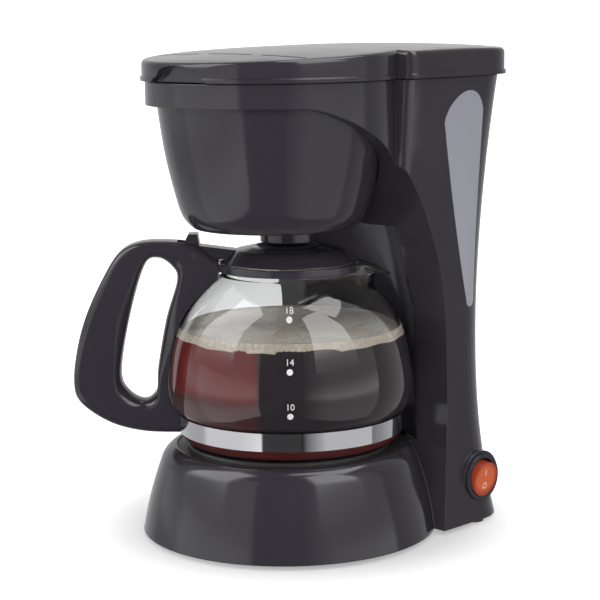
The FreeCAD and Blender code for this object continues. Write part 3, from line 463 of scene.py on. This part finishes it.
def make_window():
    """Grey pane, paler towards its foot."""
    material, tree, shader = new_material("tank_window")
    fall = fade(tree, object_parts(tree)["Z"], WINDOW_FALL)
    colour = mixed(tree, fall, (0.32, 0.32, 0.37, 1), (0.35, 0.35, 0.40, 1))
    tree.links.new(colour, shader.inputs["Base Color"])
    shader.inputs["Roughness"].default_value = 0.26
    return material


def make_filter_mesh():
    """Fine woven wire: two runs of threads that cross, with painted shade in the dark gaps between them."""
    material, tree, shader = new_material("filter_mesh")
    threads = tree.nodes.new("ShaderNodeTexChecker")
    threads.inputs["Scale"].default_value = 1400.0
    threads.inputs["Color1"].default_value = (0.60, 0.57, 0.50, 1)
    # painted shade: the darker squares stand for the shaded gaps between the threads
    threads.inputs["Color2"].default_value = (0.16, 0.15, 0.13, 1)
    tree.links.new(tree.nodes.new("ShaderNodeTexCoord").outputs["Object"], threads.inputs["Vector"])
    tree.links.new(threads.outputs["Color"], shader.inputs["Base Color"])
    shader.inputs["Metallic"].default_value = 0.8
    shader.inputs["Roughness"].default_value = 0.4
    bump(tree, shader, threads.outputs["Fac"], strength=0.4, distance=0.2)
    return material


def make_coffee():
    """Dark coffee with painted red light where light would shine through it: on its thin left side and down
    at its foot.
    """
    material, tree, shader = new_material("coffee")
    parts = object_parts(tree)
    across = maths(tree, "ADD", parts["X"], parts["Y"])
    left = fade(tree, across, PAINTED_GLOW_SIDE)
    upper = fade(tree, parts["Z"], PAINTED_GLOW_UPPER, (0.35, 1.0))
    foot = fade(tree, parts["Z"], PAINTED_GLOW_FOOT, (0.0, 0.8))
    # painted light: red where light would shine through the thin coffee on the left and at its foot
    red = maths(tree, "MAXIMUM", maths(tree, "MULTIPLY", left, upper), foot)
    place = tree.nodes["Texture Coordinate"].outputs["Object"]
    cloud = spread(tree, noise(tree, place, scale=45.0, detail=3.0), (0.3, 0.7), (0.8, 1.1))
    share = maths(tree, "MULTIPLY", red, cloud)
    colour = mixed(tree, share, (0.056, 0.046, 0.052, 1), (0.25, 0.038, 0.034, 1))
    tree.links.new(colour, shader.inputs["Base Color"])
    shader.inputs["Roughness"].default_value = 0.3
    shader.inputs["Specular IOR Level"].default_value = 0.0
    return material


def make_foam():
    """Coffee froth: pale bubbles with beige between them, in smoother and rougher patches."""
    material, tree, shader = new_material("foam")
    place = tree.nodes.new("ShaderNodeTexCoord").outputs["Object"]
    bubbles = tree.nodes.new("ShaderNodeTexVoronoi")
    bubbles.inputs["Scale"].default_value = 420.0
    tree.links.new(place, bubbles.inputs["Vector"])
    froth = spread(tree, bubbles.outputs["Distance"], (0.1, 0.75), (1.0, 0.25))
    patch = spread(tree, noise(tree, place, scale=55.0, detail=6.0), (0.38, 0.62))
    share = maths(tree, "MULTIPLY", froth, maths(tree, "ADD", maths(tree, "MULTIPLY", patch, 0.75), 0.25))
    colour = mixed(tree, share, (0.66, 0.54, 0.41, 1), (0.98, 0.95, 0.88, 1))
    tree.links.new(colour, shader.inputs["Base Color"])
    tree.links.new(spread(tree, patch, (0.0, 1.0), (0.35, 0.6)), shader.inputs["Roughness"])
    bump(tree, shader, froth, strength=0.5, distance=0.4)
    return material


gloss_black = moulded("gloss_black", colour=(0.034, 0.0315, 0.040), worn=(0.037, 0.034, 0.043),
                      gloss=(0.11, 0.16), peel=0.004, peel_scale=420.0)
soften_edges(gloss_black, radius=0.9)
gloss_black.node_tree.nodes["Principled BSDF"].inputs["Specular IOR Level"].default_value = GLOSS_LEVEL
satin_black = moulded("satin_black", colour=(0.030, 0.029, 0.031), worn=(0.04, 0.038, 0.04),
                      gloss=(0.35, 0.5), peel=0.2, peel_scale=900.0)
white_plastic = moulded("white_plastic", colour=(0.82, 0.82, 0.80), worn=(0.76, 0.76, 0.73),
                        gloss=(0.3, 0.45), peel=0.1)
print_white = moulded("print_white", colour=(0.8, 0.8, 0.8), worn=(0.72, 0.72, 0.72),
                      gloss=(0.4, 0.5), peel=0.05)
print_pale = moulded("print_pale", colour=(0.85, 0.62, 0.5), worn=(0.8, 0.55, 0.44),
                     gloss=(0.4, 0.5), peel=0.05)
silicone = moulded("silicone", colour=(0.70, 0.69, 0.65), worn=(0.62, 0.61, 0.57),
                   gloss=(0.45, 0.6), peel=0.15)
rubber = moulded("rubber", colour=(0.025, 0.025, 0.026), worn=(0.04, 0.04, 0.04),
                 gloss=(0.6, 0.8), peel=0.3, peel_scale=1200.0)
orange = make_rocker()
window_grey = make_window()
plate_coating = moulded("plate_coating", colour=(0.03, 0.03, 0.03), worn=(0.05, 0.05, 0.05),
                        gloss=(0.35, 0.5), peel=0.2, peel_scale=1500.0)
glass = clear_glass("carafe_glass", colour=(0.97, 0.98, 0.98), roughness=(0.0, 0.015), ior=1.5)
steel = metal("steel", colour=(0.62, 0.62, 0.63), worn=(0.5, 0.5, 0.51), gloss=(0.2, 0.35))
band_steel = metal("band_steel", colour=(0.63, 0.63, 0.66), worn=(0.59, 0.59, 0.62), gloss=(0.05, 0.1))
aluminium = metal("aluminium", colour=(0.75, 0.75, 0.76), worn=(0.66, 0.66, 0.67), gloss=(0.3, 0.45))
brass = metal("brass", colour=(0.75, 0.58, 0.28), worn=(0.62, 0.47, 0.22), gloss=(0.25, 0.4))
filter_mesh = make_filter_mesh()
coffee_brown = make_coffee()
foam_beige = make_foam()

SLOT_MATERIAL = {
    "gloss_black": gloss_black, "black_plastic": satin_black, "silicone": silicone, "steel": steel,
    "mesh": filter_mesh, "tank_window": window_grey, "white_plastic": white_plastic,
    "plate_coating": plate_coating, "aluminium": aluminium, "brass": brass, "lamp_glass": glass,
    "orange_rocker": orange, "rubber": rubber, "carafe_glass": glass, "band_steel": band_steel,
}
NODE_SLOT = {entry["node"]: entry["material_slot"] for entry in frame["record"]["subparts"]}
NODE_BODY = {node: body for body, nodes in frame["record"]["behaviour"]["bodies"].items() for node in nodes}


# Nodes that get a copy with smooth round faces, and the copies' names
SMOOTH_COPIES = {
    "base_housing": "base_shell", "upper_housing": "tower_shell", "top_lid": "lid_shell",
    "brew_bowl": "bowl_shell", "carafe_collar": "neck_collar", "carafe_lid": "carafe_flap",
    "steel_band": "band_strip", "tank_window_right": "window_right", "tank_window_left": "window_left",
    "warming_plate": "hot_plate", "rocker_cap": "rocker", "switch_body": "switch_bezel",
}


# Pieces

def dress_nodes():
    """Every CAD node gets the finish of its slot."""
    for node, piece in frame["nodes"].items():
        piece.data.materials.clear()
        piece.data.materials.append(SLOT_MATERIAL[NODE_SLOT[node]])


def smooth_node(node, name):
    """A copy of a node that shades smoothly and takes the node's place."""
    piece = joined_copy(node, name)
    smooth(piece)
    slot = NODE_SLOT[node]
    finish_piece(piece, NODE_BODY[node], SLOT_MATERIAL[slot], slot, node)


def lift_lid_front():
    """Raises the lid's front rim a little, so that its top runs nearly straight across the picture."""
    for point in bpy.data.objects["lid_shell"].data.vertices:
        if point.co.z > LID_RIM_Z * MM:
            share = (LID_LIFT_BACK - point.co.y / MM) / (LID_LIFT_BACK - LID_LIFT_FRONT)
            point.co.z += LID_LIFT * min(max(share, 0.0), 1.0) * MM


def carafe_place(piece):
    """Turns a piece from the carafe's own plane to where the carafe stands."""
    turned = Matrix.Rotation(math.radians(CARAFE_TURN), 4, "Z")
    piece.data.transform(Matrix.Translation((0, CARAFE_Y * MM, 0)) @ turned)


def glass_outside():
    """The outside of the glass as a run of (radius, height)."""
    return through(GLASS_HEEL, steps=5) + through(GLASS_SIDE)


def inner_glass(z):
    """The glass's inside radius at a height."""
    run = glass_outside()
    for (r0, z0), (r1, z1) in zip(run, run[1:]):
        if z0 <= z <= z1:
            return r0 + (r1 - r0) * (z - z0) / (z1 - z0) - GLASS_WALL
    return GLASS_NECK_R - GLASS_WALL


def pull_spout(piece):
    """Draws the neck's lip out to the right into a pouring spout."""
    neck_inside = GLASS_NECK_R - 4 * GLASS_WALL
    for point in piece.data.vertices:
        x, y, z = point.co / MM
        away = math.degrees(math.atan2(y, x))
        rise = min(max((z - POUR_ROOT_Z) / (GLASS_LIP_Z - POUR_ROOT_Z), 0.0), 1.0)
        share = math.exp(-(away / POUR_SPREAD) ** 2) * rise ** POUR_POWER
        if math.hypot(x, y) > neck_inside:
            point.co.x += POUR_REACH * share * MM
            point.co.z -= POUR_DROP * share ** 2 * MM


def glass_jug():
    """The carafe's glass: one turned wall with a rounded lip and a spout."""
    outside = glass_outside()
    floor = GLASS_FOOT_Z + GLASS_WALL
    inside = [(r - GLASS_WALL, z) for r, z in outside if z > floor]
    neck, root = GLASS_NECK_R - GLASS_WALL, GLASS_LIP_Z - GLASS_LIP_STEP
    lip = rounded([(GLASS_NECK_R, root, 0), (GLASS_NECK_R, GLASS_LIP_Z, GLASS_LIP_ROUND),
                   (neck, GLASS_LIP_Z, GLASS_LIP_ROUND), (neck, root, 0)])
    profile = [(0, GLASS_FOOT_Z)] + outside + lip + inside[::-1] + [(GLASS_HEEL[0][0], floor), (0, floor)]
    piece = turn("glass_jug", profile, 0, FINE_STEPS)
    pull_spout(piece)
    carafe_place(piece)
    smooth(piece, GLASS_EDGE_ANGLE)
    finish_piece(piece, "carafe", glass, "carafe_glass", "carafe_glass")


def coffee_fill():
    """The coffee, which reaches a little into the glass so that no gap shows."""
    overlap = 0.3
    floor = GLASS_FOOT_Z + GLASS_WALL - overlap
    side = [(r - GLASS_WALL + overlap, z) for r, z in glass_outside() if floor < z < COFFEE_Z]
    profile = [(0, floor), (GLASS_HEEL[0][0] - GLASS_WALL, floor)] + side
    profile += [(inner_glass(COFFEE_Z) + overlap, COFFEE_Z), (0, COFFEE_Z)]
    piece = turn("coffee", profile, CARAFE_Y)
    smooth(piece)
    finish_piece(piece, "carafe", coffee_brown, "gloss_black")


def ripple(angle):
    """An uneven up and down, from -1 to 1, round the foam's edge."""
    return sum(height * math.sin(count * angle + start) for height, count, start in FOAM_WAVES)


def foam_layer():
    """The froth on the coffee, with an uneven lower edge and a lumpy top."""
    overlap = 0.35
    sink, swell = 2.2, 1.1
    edge_in, edge_down, edge_width = 1.2, 0.5, 6
    ring_start, ring_pitch, rings = 4, 6, 9
    lump, lump_x, lump_y, lump_start, rim_width = 0.3, 0.4, 0.37, 1.3, 2
    top = FOAM_Z - 1.0
    rim = inner_glass(FOAM_Z) + overlap
    profile = [(0, COFFEE_Z - sink), (inner_glass(COFFEE_Z - sink) + overlap, COFFEE_Z - sink)]
    profile += [(inner_glass(COFFEE_Z) + overlap, COFFEE_Z), (rim, FOAM_Z)]
    profile += [(rim - edge_in, FOAM_Z - edge_down)]
    profile += [(rim - ring_start - ring_pitch * k, top) for k in range(rings)] + [(0, top)]
    piece = turn("foam", profile, CARAFE_Y, FINE_STEPS)
    for point in piece.data.vertices:
        x, y, z = point.co.x / MM, point.co.y / MM - CARAFE_Y, point.co.z / MM
        angle, reach = math.atan2(y, x), math.hypot(x, y)
        if reach > rim - edge_width and z < COFFEE_Z:
            point.co.z += swell * ripple(angle) * MM
        elif reach < rim - rim_width and z > COFFEE_Z:
            across = math.sin(lump_x * x + 2 * ripple(angle))
            point.co.z += lump * across * math.sin(lump_y * y + lump_start) * MM
    smooth(piece, GLASS_EDGE_ANGLE)
    finish_piece(piece, "carafe", foam_beige, "white_plastic")


def closed_run(points, count):
    """A closed smooth run through the points."""
    ring = [points[-1]] + points + points[:2]
    return through(ring, count)[count:-count - 1]


def seen_from(eye, outline, angle):
    """The point of an outline that a ray from the eye meets at an angle."""
    direction = Vector((math.cos(angle), math.sin(angle)))
    best = None
    for a, b in zip(outline, outline[1:] + outline[:1]):
        near, far = Vector(a) - Vector(eye), Vector(b) - Vector(eye)
        side_near, side_far = direction.cross(near), direction.cross(far)
        if side_near * side_far <= 0 and side_near != side_far:
            meet = near.lerp(far, side_near / (side_near - side_far))
            if meet.dot(direction) > 0 and (best is None or meet.length > best.length):
                best = meet
    return best + Vector(eye)


def round_off(corner, inward, depth, height, angle):
    """A point of a rounded corner of the handle, with how far it lies from the handle's plane."""
    return corner + inward * depth * (1 - math.cos(angle)), HANDLE_HALF - height + height * math.sin(angle)


def handle_sections():
    """Round sections of the handle: broad rounding round the opening, a tighter one outside."""
    outer = through(HANDLE_OUTER, HANDLE_STEPS) + HANDLE_ROOT
    inner = closed_run(HANDLE_OPENING, HANDLE_STEPS)
    inner_share, outer_share = 0.45, 0.4
    quarter = [math.pi / 2 * k / HANDLE_STEPS for k in range(HANDLE_STEPS + 1)]
    sections = []
    for i in range(HANDLE_SECTIONS):
        angle = math.tau * i / HANDLE_SECTIONS
        hole = seen_from(HANDLE_EYE, inner, angle)
        edge = seen_from(HANDLE_EYE, outer, angle)
        out = (edge - hole).normalized()
        width = (edge - hole).length
        near = min(HANDLE_INNER_ROUND, width * inner_share)
        far = min(HANDLE_OUTER_ROUND, width * outer_share)
        half = [round_off(hole, out, near, HANDLE_INNER_ROUND, t) for t in quarter]
        half += [round_off(edge, -out, far, HANDLE_OUTER_ROUND, t) for t in reversed(quarter)]
        section = [Vector((place.x, y, place.y)) * MM for place, y in half]
        section += [Vector((place.x, -y, place.y)) * MM for place, y in reversed(half)]
        sections.append(section)
    return sections


def skin(name, sections):
    """A closed ring of sections, joined into one skin."""
    size = len(sections[0])
    faces = []
    for i in range(len(sections)):
        ahead = (i + 1) % len(sections)
        for j in range(size):
            right = (j + 1) % size
            faces.append((i * size + j, ahead * size + j, ahead * size + right, i * size + right))
    mesh = bpy.data.meshes.new(name)
    mesh.from_pydata([point for section in sections for point in section], [], faces)
    piece = bpy.data.objects.new(name, mesh)
    bpy.context.scene.collection.objects.link(piece)
    edit_all(piece)
    bpy.ops.mesh.normals_make_consistent(inside=False)
    object_mode()
    return piece


def carve(piece, cutter):
    """Takes the cutter's shape out of a piece, and the cutter away."""
    take_up(piece)
    cut = piece.modifiers.new("carve", "BOOLEAN")
    cut.operation, cut.solver, cut.object = "DIFFERENCE", "EXACT", cutter
    bpy.ops.object.modifier_apply(modifier=cut.name)
    bpy.data.objects.remove(cutter)


def bar(name, radius, low, high, x, z):
    """A round bar across the handle."""
    clear_selection()
    middle = Vector((x, (low + high) / 2, z)) * MM
    bpy.ops.mesh.primitive_cylinder_add(vertices=48, radius=radius * MM, depth=(high - low) * MM,
                                        location=middle, rotation=(math.pi / 2, 0, 0))
    bpy.ops.object.transform_apply(location=True, rotation=True, scale=True)
    bpy.context.object.name = name
    return bpy.context.object


def slab(name, low, high):
    """A block between two corners."""
    clear_selection()
    bpy.ops.mesh.primitive_cube_add(size=MM, location=[(a + b) / 2 * MM for a, b in zip(low, high)],
                                    scale=[b - a for a, b in zip(low, high)])
    bpy.ops.object.transform_apply(location=True, rotation=True, scale=True)
    bpy.context.object.name = name
    return bpy.context.object


def handle_grip():
    """The handle, with room for the glass, the band, the lid's lever, its pin and the band's screw."""
    piece = skin("handle_grip", handle_sections())
    glass_room, band_room, band_play = 0.3, 0.05, 0.5
    collar_room = COLLAR_R + 0.1
    foot, top, beside = GLASS_FOOT_Z - 3, 175.0, 20
    outside = [(r + glass_room, z) for r, z in glass_outside() if r + glass_room > collar_room]
    room = [(0, foot), (outside[0][0], foot)] + outside
    room += [(collar_room, outside[-1][1] + 1), (collar_room, top), (0, top)]
    carve(piece, turn("glass_room", room, 0))
    band_r, band_foot, band_top = BAND_R + band_room, BAND_FOOT_Z - band_play, BAND_TOP_Z + band_play
    band = [(0, band_foot), (band_r, band_foot), (band_r, band_top), (0, band_top)]
    carve(piece, turn("band_room", band, 0))
    pin_x, pin_z = HANDLE_PIN
    slot_half, slot_back, slot_down, slot_top = 5.9, 8, 6, 200
    slot_low = (pin_x - slot_back, -slot_half, pin_z - slot_down)
    carve(piece, slab("lever_slot", slot_low, (0, slot_half, slot_top)))
    carve(piece, bar("pin_hole", HANDLE_PIN_R, -beside, beside, pin_x, pin_z))
    screw_z = (BAND_FOOT_Z + BAND_TOP_Z) / 2
    carve(piece, bar("screw_hole", HANDLE_SCREW_R, HANDLE_SCREW_FLOOR_Y, beside, HANDLE_SCREW_X, screw_z))
    carafe_place(piece)
    smooth(piece, GRIP_EDGE_ANGLE)
    finish_piece(piece, "carafe", gloss_black, "gloss_black", "carafe_handle")


def wrap(piece, z):
    """Bends a flat mark round the glass, on the side that faces the front right."""
    side = math.radians(VIEW_BEARING)
    for point in piece.data.vertices:
        across, up = point.co.x / MM, point.co.y / MM
        radius = inner_glass(z + up) + GLASS_WALL + PRINT_LIFT + point.co.z / MM
        angle = side + across / radius
        point.co = Vector((radius * math.cos(angle), radius * math.sin(angle) + CARAFE_Y, z + up)) * MM


def printed(name, z, piece):
    """Makes a flat mark a print on the glass, at a height."""
    piece.name = piece.data.name = name
    edit_all(piece)
    bpy.ops.mesh.remove_doubles(threshold=PRINT_JOIN * MM)
    object_mode()
    wrap(piece, z)
    finish_piece(piece, "carafe", print_white, "white_plastic")


def level_number(text, z, size):
    clear_selection()
    bpy.ops.object.text_add()
    piece = bpy.context.object
    piece.data.body = text
    piece.data.size = size * MM
    piece.data.align_x = "CENTER"
    piece.data.align_y = "CENTER"
    piece.data.extrude = PRINT_THICK / 2 * MM
    bpy.ops.object.convert(target="MESH")
    printed("level_" + text, z, bpy.context.object)


def level_dot(name, z, radius):
    clear_selection()
    bpy.ops.mesh.primitive_cylinder_add(vertices=32, radius=radius * MM, depth=PRINT_THICK * MM)
    printed(name, z, bpy.context.object)


def level_marks():
    for text, number_z, dot_z in LEVELS:
        level_number(text, number_z, LEVEL_SIZE)
        level_dot("level_dot_" + text, dot_z, LEVEL_DOT_R)


def rocker_mark(piece, name):
    """Tips a mark over with the rocker's face."""
    pivot = Vector(ROCKER_PIVOT) * MM
    tip = Matrix.Rotation(math.radians(ROCKER_TIP), 4, "Y")
    piece.name = piece.data.name = name
    piece.data.transform(Matrix.Translation(pivot) @ tip @ Matrix.Translation(-pivot))
    smooth(piece)
    finish_piece(piece, "rocker", print_pale, "white_plastic")


def rocker_marks():
    """The stroke and the ring of an on and off switch."""
    x, y, z = ROCKER_FACE
    stroke_half, stroke_width, ring_r, line = 1.7, 0.35, 1.5, 0.32
    sunk, proud, flatness = 0.1, 0.06, 0.3
    stroke = slab("stroke", (x - sunk, y - stroke_width, z + ROCKER_MARK_UP - stroke_half),
                  (x + proud, y + stroke_width, z + ROCKER_MARK_UP + stroke_half))
    rocker_mark(stroke, "rocker_stroke")
    clear_selection()
    bpy.ops.mesh.primitive_torus_add(major_radius=ring_r * MM, minor_radius=line * MM, major_segments=48,
                                     minor_segments=10, rotation=(0, math.pi / 2, 0))
    bpy.ops.object.transform_apply(location=True, rotation=True, scale=True)
    ring = bpy.context.object
    edit_all(ring)
    bpy.ops.transform.resize(value=(flatness, 1, 1))
    bpy.ops.transform.translate(value=Vector((x, y, z - ROCKER_MARK_UP)) * MM)
    object_mode()
    rocker_mark(ring, "rocker_ring")


dress_nodes()
for node, name in SMOOTH_COPIES.items():
    smooth_node(node, name)
lift_lid_front()
glass_jug()
coffee_fill()
foam_layer()
handle_grip()
level_marks()
rocker_marks()


# Stage, light and camera

def bearing(degrees):
    """A level direction, measured from the camera's side of the object, positive to the picture's right."""
    angle = math.radians(VIEW_BEARING + degrees)
    return Vector((math.cos(angle), math.sin(angle), 0))


def floor_sheet():
    """A plain white floor with a soft shadow under the object, partly its real shadow and partly painted
    shadow, as the floor glows less near the object.
    """
    clear_selection()
    bpy.ops.mesh.primitive_plane_add(size=FLOOR_SIZE)
    sheet = bpy.context.object
    sheet.name = "floor"
    material, tree, shader = new_material("floor_white")
    shader.inputs["Base Color"].default_value = (0.6, 0.6, 0.6, 1)
    shader.inputs["Roughness"].default_value = 0.9
    shader.inputs["Emission Color"].default_value = (1, 1, 1, 1)
    # painted shadow: the floor's own glow is weaker near the object
    lift = fade(tree, distance_from(tree, PAINTED_SHADOW_MIDDLE), PAINTED_SHADOW_REACH, (FLOOR_NEAR_LIFT, 1.0))
    ray = tree.nodes.new("ShaderNodeLightPath").outputs
    through_glass = maths(tree, "MULTIPLY", ray["Is Transmission Ray"], FLOOR_GLASS_LIFT)
    seen = maths(tree, "MAXIMUM", ray["Is Camera Ray"], through_glass)
    tree.links.new(maths(tree, "MULTIPLY", seen, lift), shader.inputs["Emission Strength"])
    sheet.data.materials.append(material)
    sheet.visible_glossy = False


def levels(tree, value, stops):
    """A strength that follows a run of (place, level) stops, with places from 0 to 1."""
    ramp = tree.nodes.new("ShaderNodeValToRGB")
    tree.links.new(value, ramp.inputs["Fac"])
    points = ramp.color_ramp.elements
    while len(points) < len(stops):
        points.new(1.0)
    for point, (place, level) in zip(points, stops):
        point.position = place
        point.color = (level, level, level, 1)
    return ramp.outputs["Color"]


def glow_panel(name, place, power, across_stops, up_stops):
    """A lit panel that only lights and is mirrored, with its own light and dark stretches."""
    clear_selection()
    bpy.ops.mesh.primitive_plane_add(size=1)
    panel = bpy.context.object
    panel.name = name
    panel.matrix_world = place
    material, tree, shader = new_material(name)
    tree.nodes.remove(shader)
    glow = tree.nodes.new("ShaderNodeEmission")
    tree.links.new(glow.outputs["Emission"], tree.nodes["Material Output"].inputs["Surface"])
    parts = object_parts(tree)
    along = levels(tree, maths(tree, "ADD", parts["X"], 0.5), across_stops)
    upward = levels(tree, maths(tree, "ADD", parts["Y"], 0.5), up_stops)
    strength = maths(tree, "MULTIPLY", maths(tree, "MULTIPLY", along, upward), power)
    tree.links.new(strength, glow.inputs["Strength"])
    panel.data.materials.append(material)
    panel.visible_camera = False
    panel.visible_transmission = False
    return panel


def axes(rightward, upward, out):
    """The turn that lays a panel's own axes along three directions."""
    return Matrix((rightward, upward, out)).transposed().to_4x4()


def soft_box(name, degrees, distance, width, heights, power, across_stops, up_stops):
    """A softbox that stands round the object and faces it."""
    low, high = heights
    up = Vector((0, 0, 1))
    middle = bearing(degrees) * distance + up * (low + high) / 2
    facing = axes(bearing(degrees + 90), up, bearing(degrees))
    place = Matrix.Translation(middle) @ facing @ Matrix.Diagonal((width, high - low, 1, 1))
    return glow_panel(name, place, power, across_stops, up_stops)


def ceiling_box(name, rightward, backward, height, width, depth, power, across_stops, up_stops):
    """A softbox that hangs level over the object."""
    up = Vector((0, 0, 1))
    middle = bearing(90) * rightward + bearing(180) * backward + up * height
    facing = axes(bearing(90), bearing(180), up)
    place = Matrix.Translation(middle) @ facing @ Matrix.Diagonal((width, depth, 1, 1))
    return glow_panel(name, place, power, across_stops, up_stops)


def studio_light():
    """Two tall softboxes with a dark gap in front, bright strips before them, a box overhead and a fill."""
    soft_box("box_left", degrees=-78, distance=BOX_DISTANCE, width=3.3, heights=BOX_HEIGHTS,
             power=BOX_POWER, across_stops=LEFT_ACROSS, up_stops=LEFT_UP)
    soft_box("box_right", degrees=50, distance=BOX_DISTANCE, width=2.3, heights=BOX_HEIGHTS,
             power=BOX_POWER, across_stops=RIGHT_ACROSS, up_stops=RIGHT_UP)
    only_mirrored = [
        soft_box("strip_left", degrees=-80, distance=1.34, width=1.2, heights=(0.2, 3.4), power=5.2,
                 across_stops=EVEN, up_stops=STRIP_RISE),
        soft_box("strip_right", degrees=46, distance=1.3, width=1.05, heights=(0.3, 3.4), power=5.4,
                 across_stops=EVEN, up_stops=STRIP_RISE),
        ceiling_box("hanging_right", rightward=0.5, backward=0.15, height=1.5, width=1.0, depth=0.9,
                    power=5.0, across_stops=EVEN, up_stops=EVEN),
    ]
    for panel in only_mirrored:
        panel.visible_diffuse = False
    fill = soft_box("fill", degrees=0, distance=1.5, width=0.9, heights=(0.1, 1.0), power=5.0,
                    across_stops=EVEN, up_stops=EVEN)
    fill.visible_glossy = False


def white_surround():
    """White where the camera looks past the object; the room that it mirrors is lit behind, dark in front."""
    world = bpy.data.worlds.new("studio")
    bpy.context.scene.world = world
    world.use_nodes = True
    tree = world.node_tree
    ray = tree.nodes.new("ShaderNodeLightPath").outputs
    back = tree.nodes["Background"]
    back.inputs["Color"].default_value = (1, 1, 1, 1)
    facing = tree.nodes.new("ShaderNodeVectorMath")
    facing.operation = "DOT_PRODUCT"
    tree.links.new(tree.nodes.new("ShaderNodeTexCoord").outputs["Generated"], facing.inputs[0])
    facing.inputs[1].default_value = bearing(0)
    share = spread(tree, facing.outputs["Value"], (-1.0, 1.0))
    mirrored = levels(tree, share, ROOM_LEVELS)
    unseen = mixed_value(tree, ray["Is Diffuse Ray"], mirrored, ROOM_DIFFUSE)
    seen = maths(tree, "MAXIMUM", ray["Is Camera Ray"], ray["Is Transmission Ray"])
    tree.links.new(maths(tree, "MAXIMUM", seen, unseen), back.inputs["Strength"])


def camera():
    """Looks down at the object from its front right."""
    data = bpy.data.cameras.new("camera")
    eye = bpy.data.objects.new("camera", data)
    bpy.context.scene.collection.objects.link(eye)
    data.sensor_width = CAMERA_SENSOR
    data.lens = CAMERA_LENS
    turned = Matrix.Rotation(math.radians(CAMERA_TURN), 4, "Z")
    pitched = Matrix.Rotation(math.radians(90 - CAMERA_PITCH), 4, "X")
    rolled = Matrix.Rotation(math.radians(CAMERA_ROLL), 4, "Z")
    eye.matrix_world = Matrix.Translation(CAMERA_PLACE) @ turned @ pitched @ rolled
    bpy.context.scene.camera = eye


floor_sheet()
studio_light()
white_surround()
camera()
bpy.context.scene.view_settings.view_transform = "Standard"
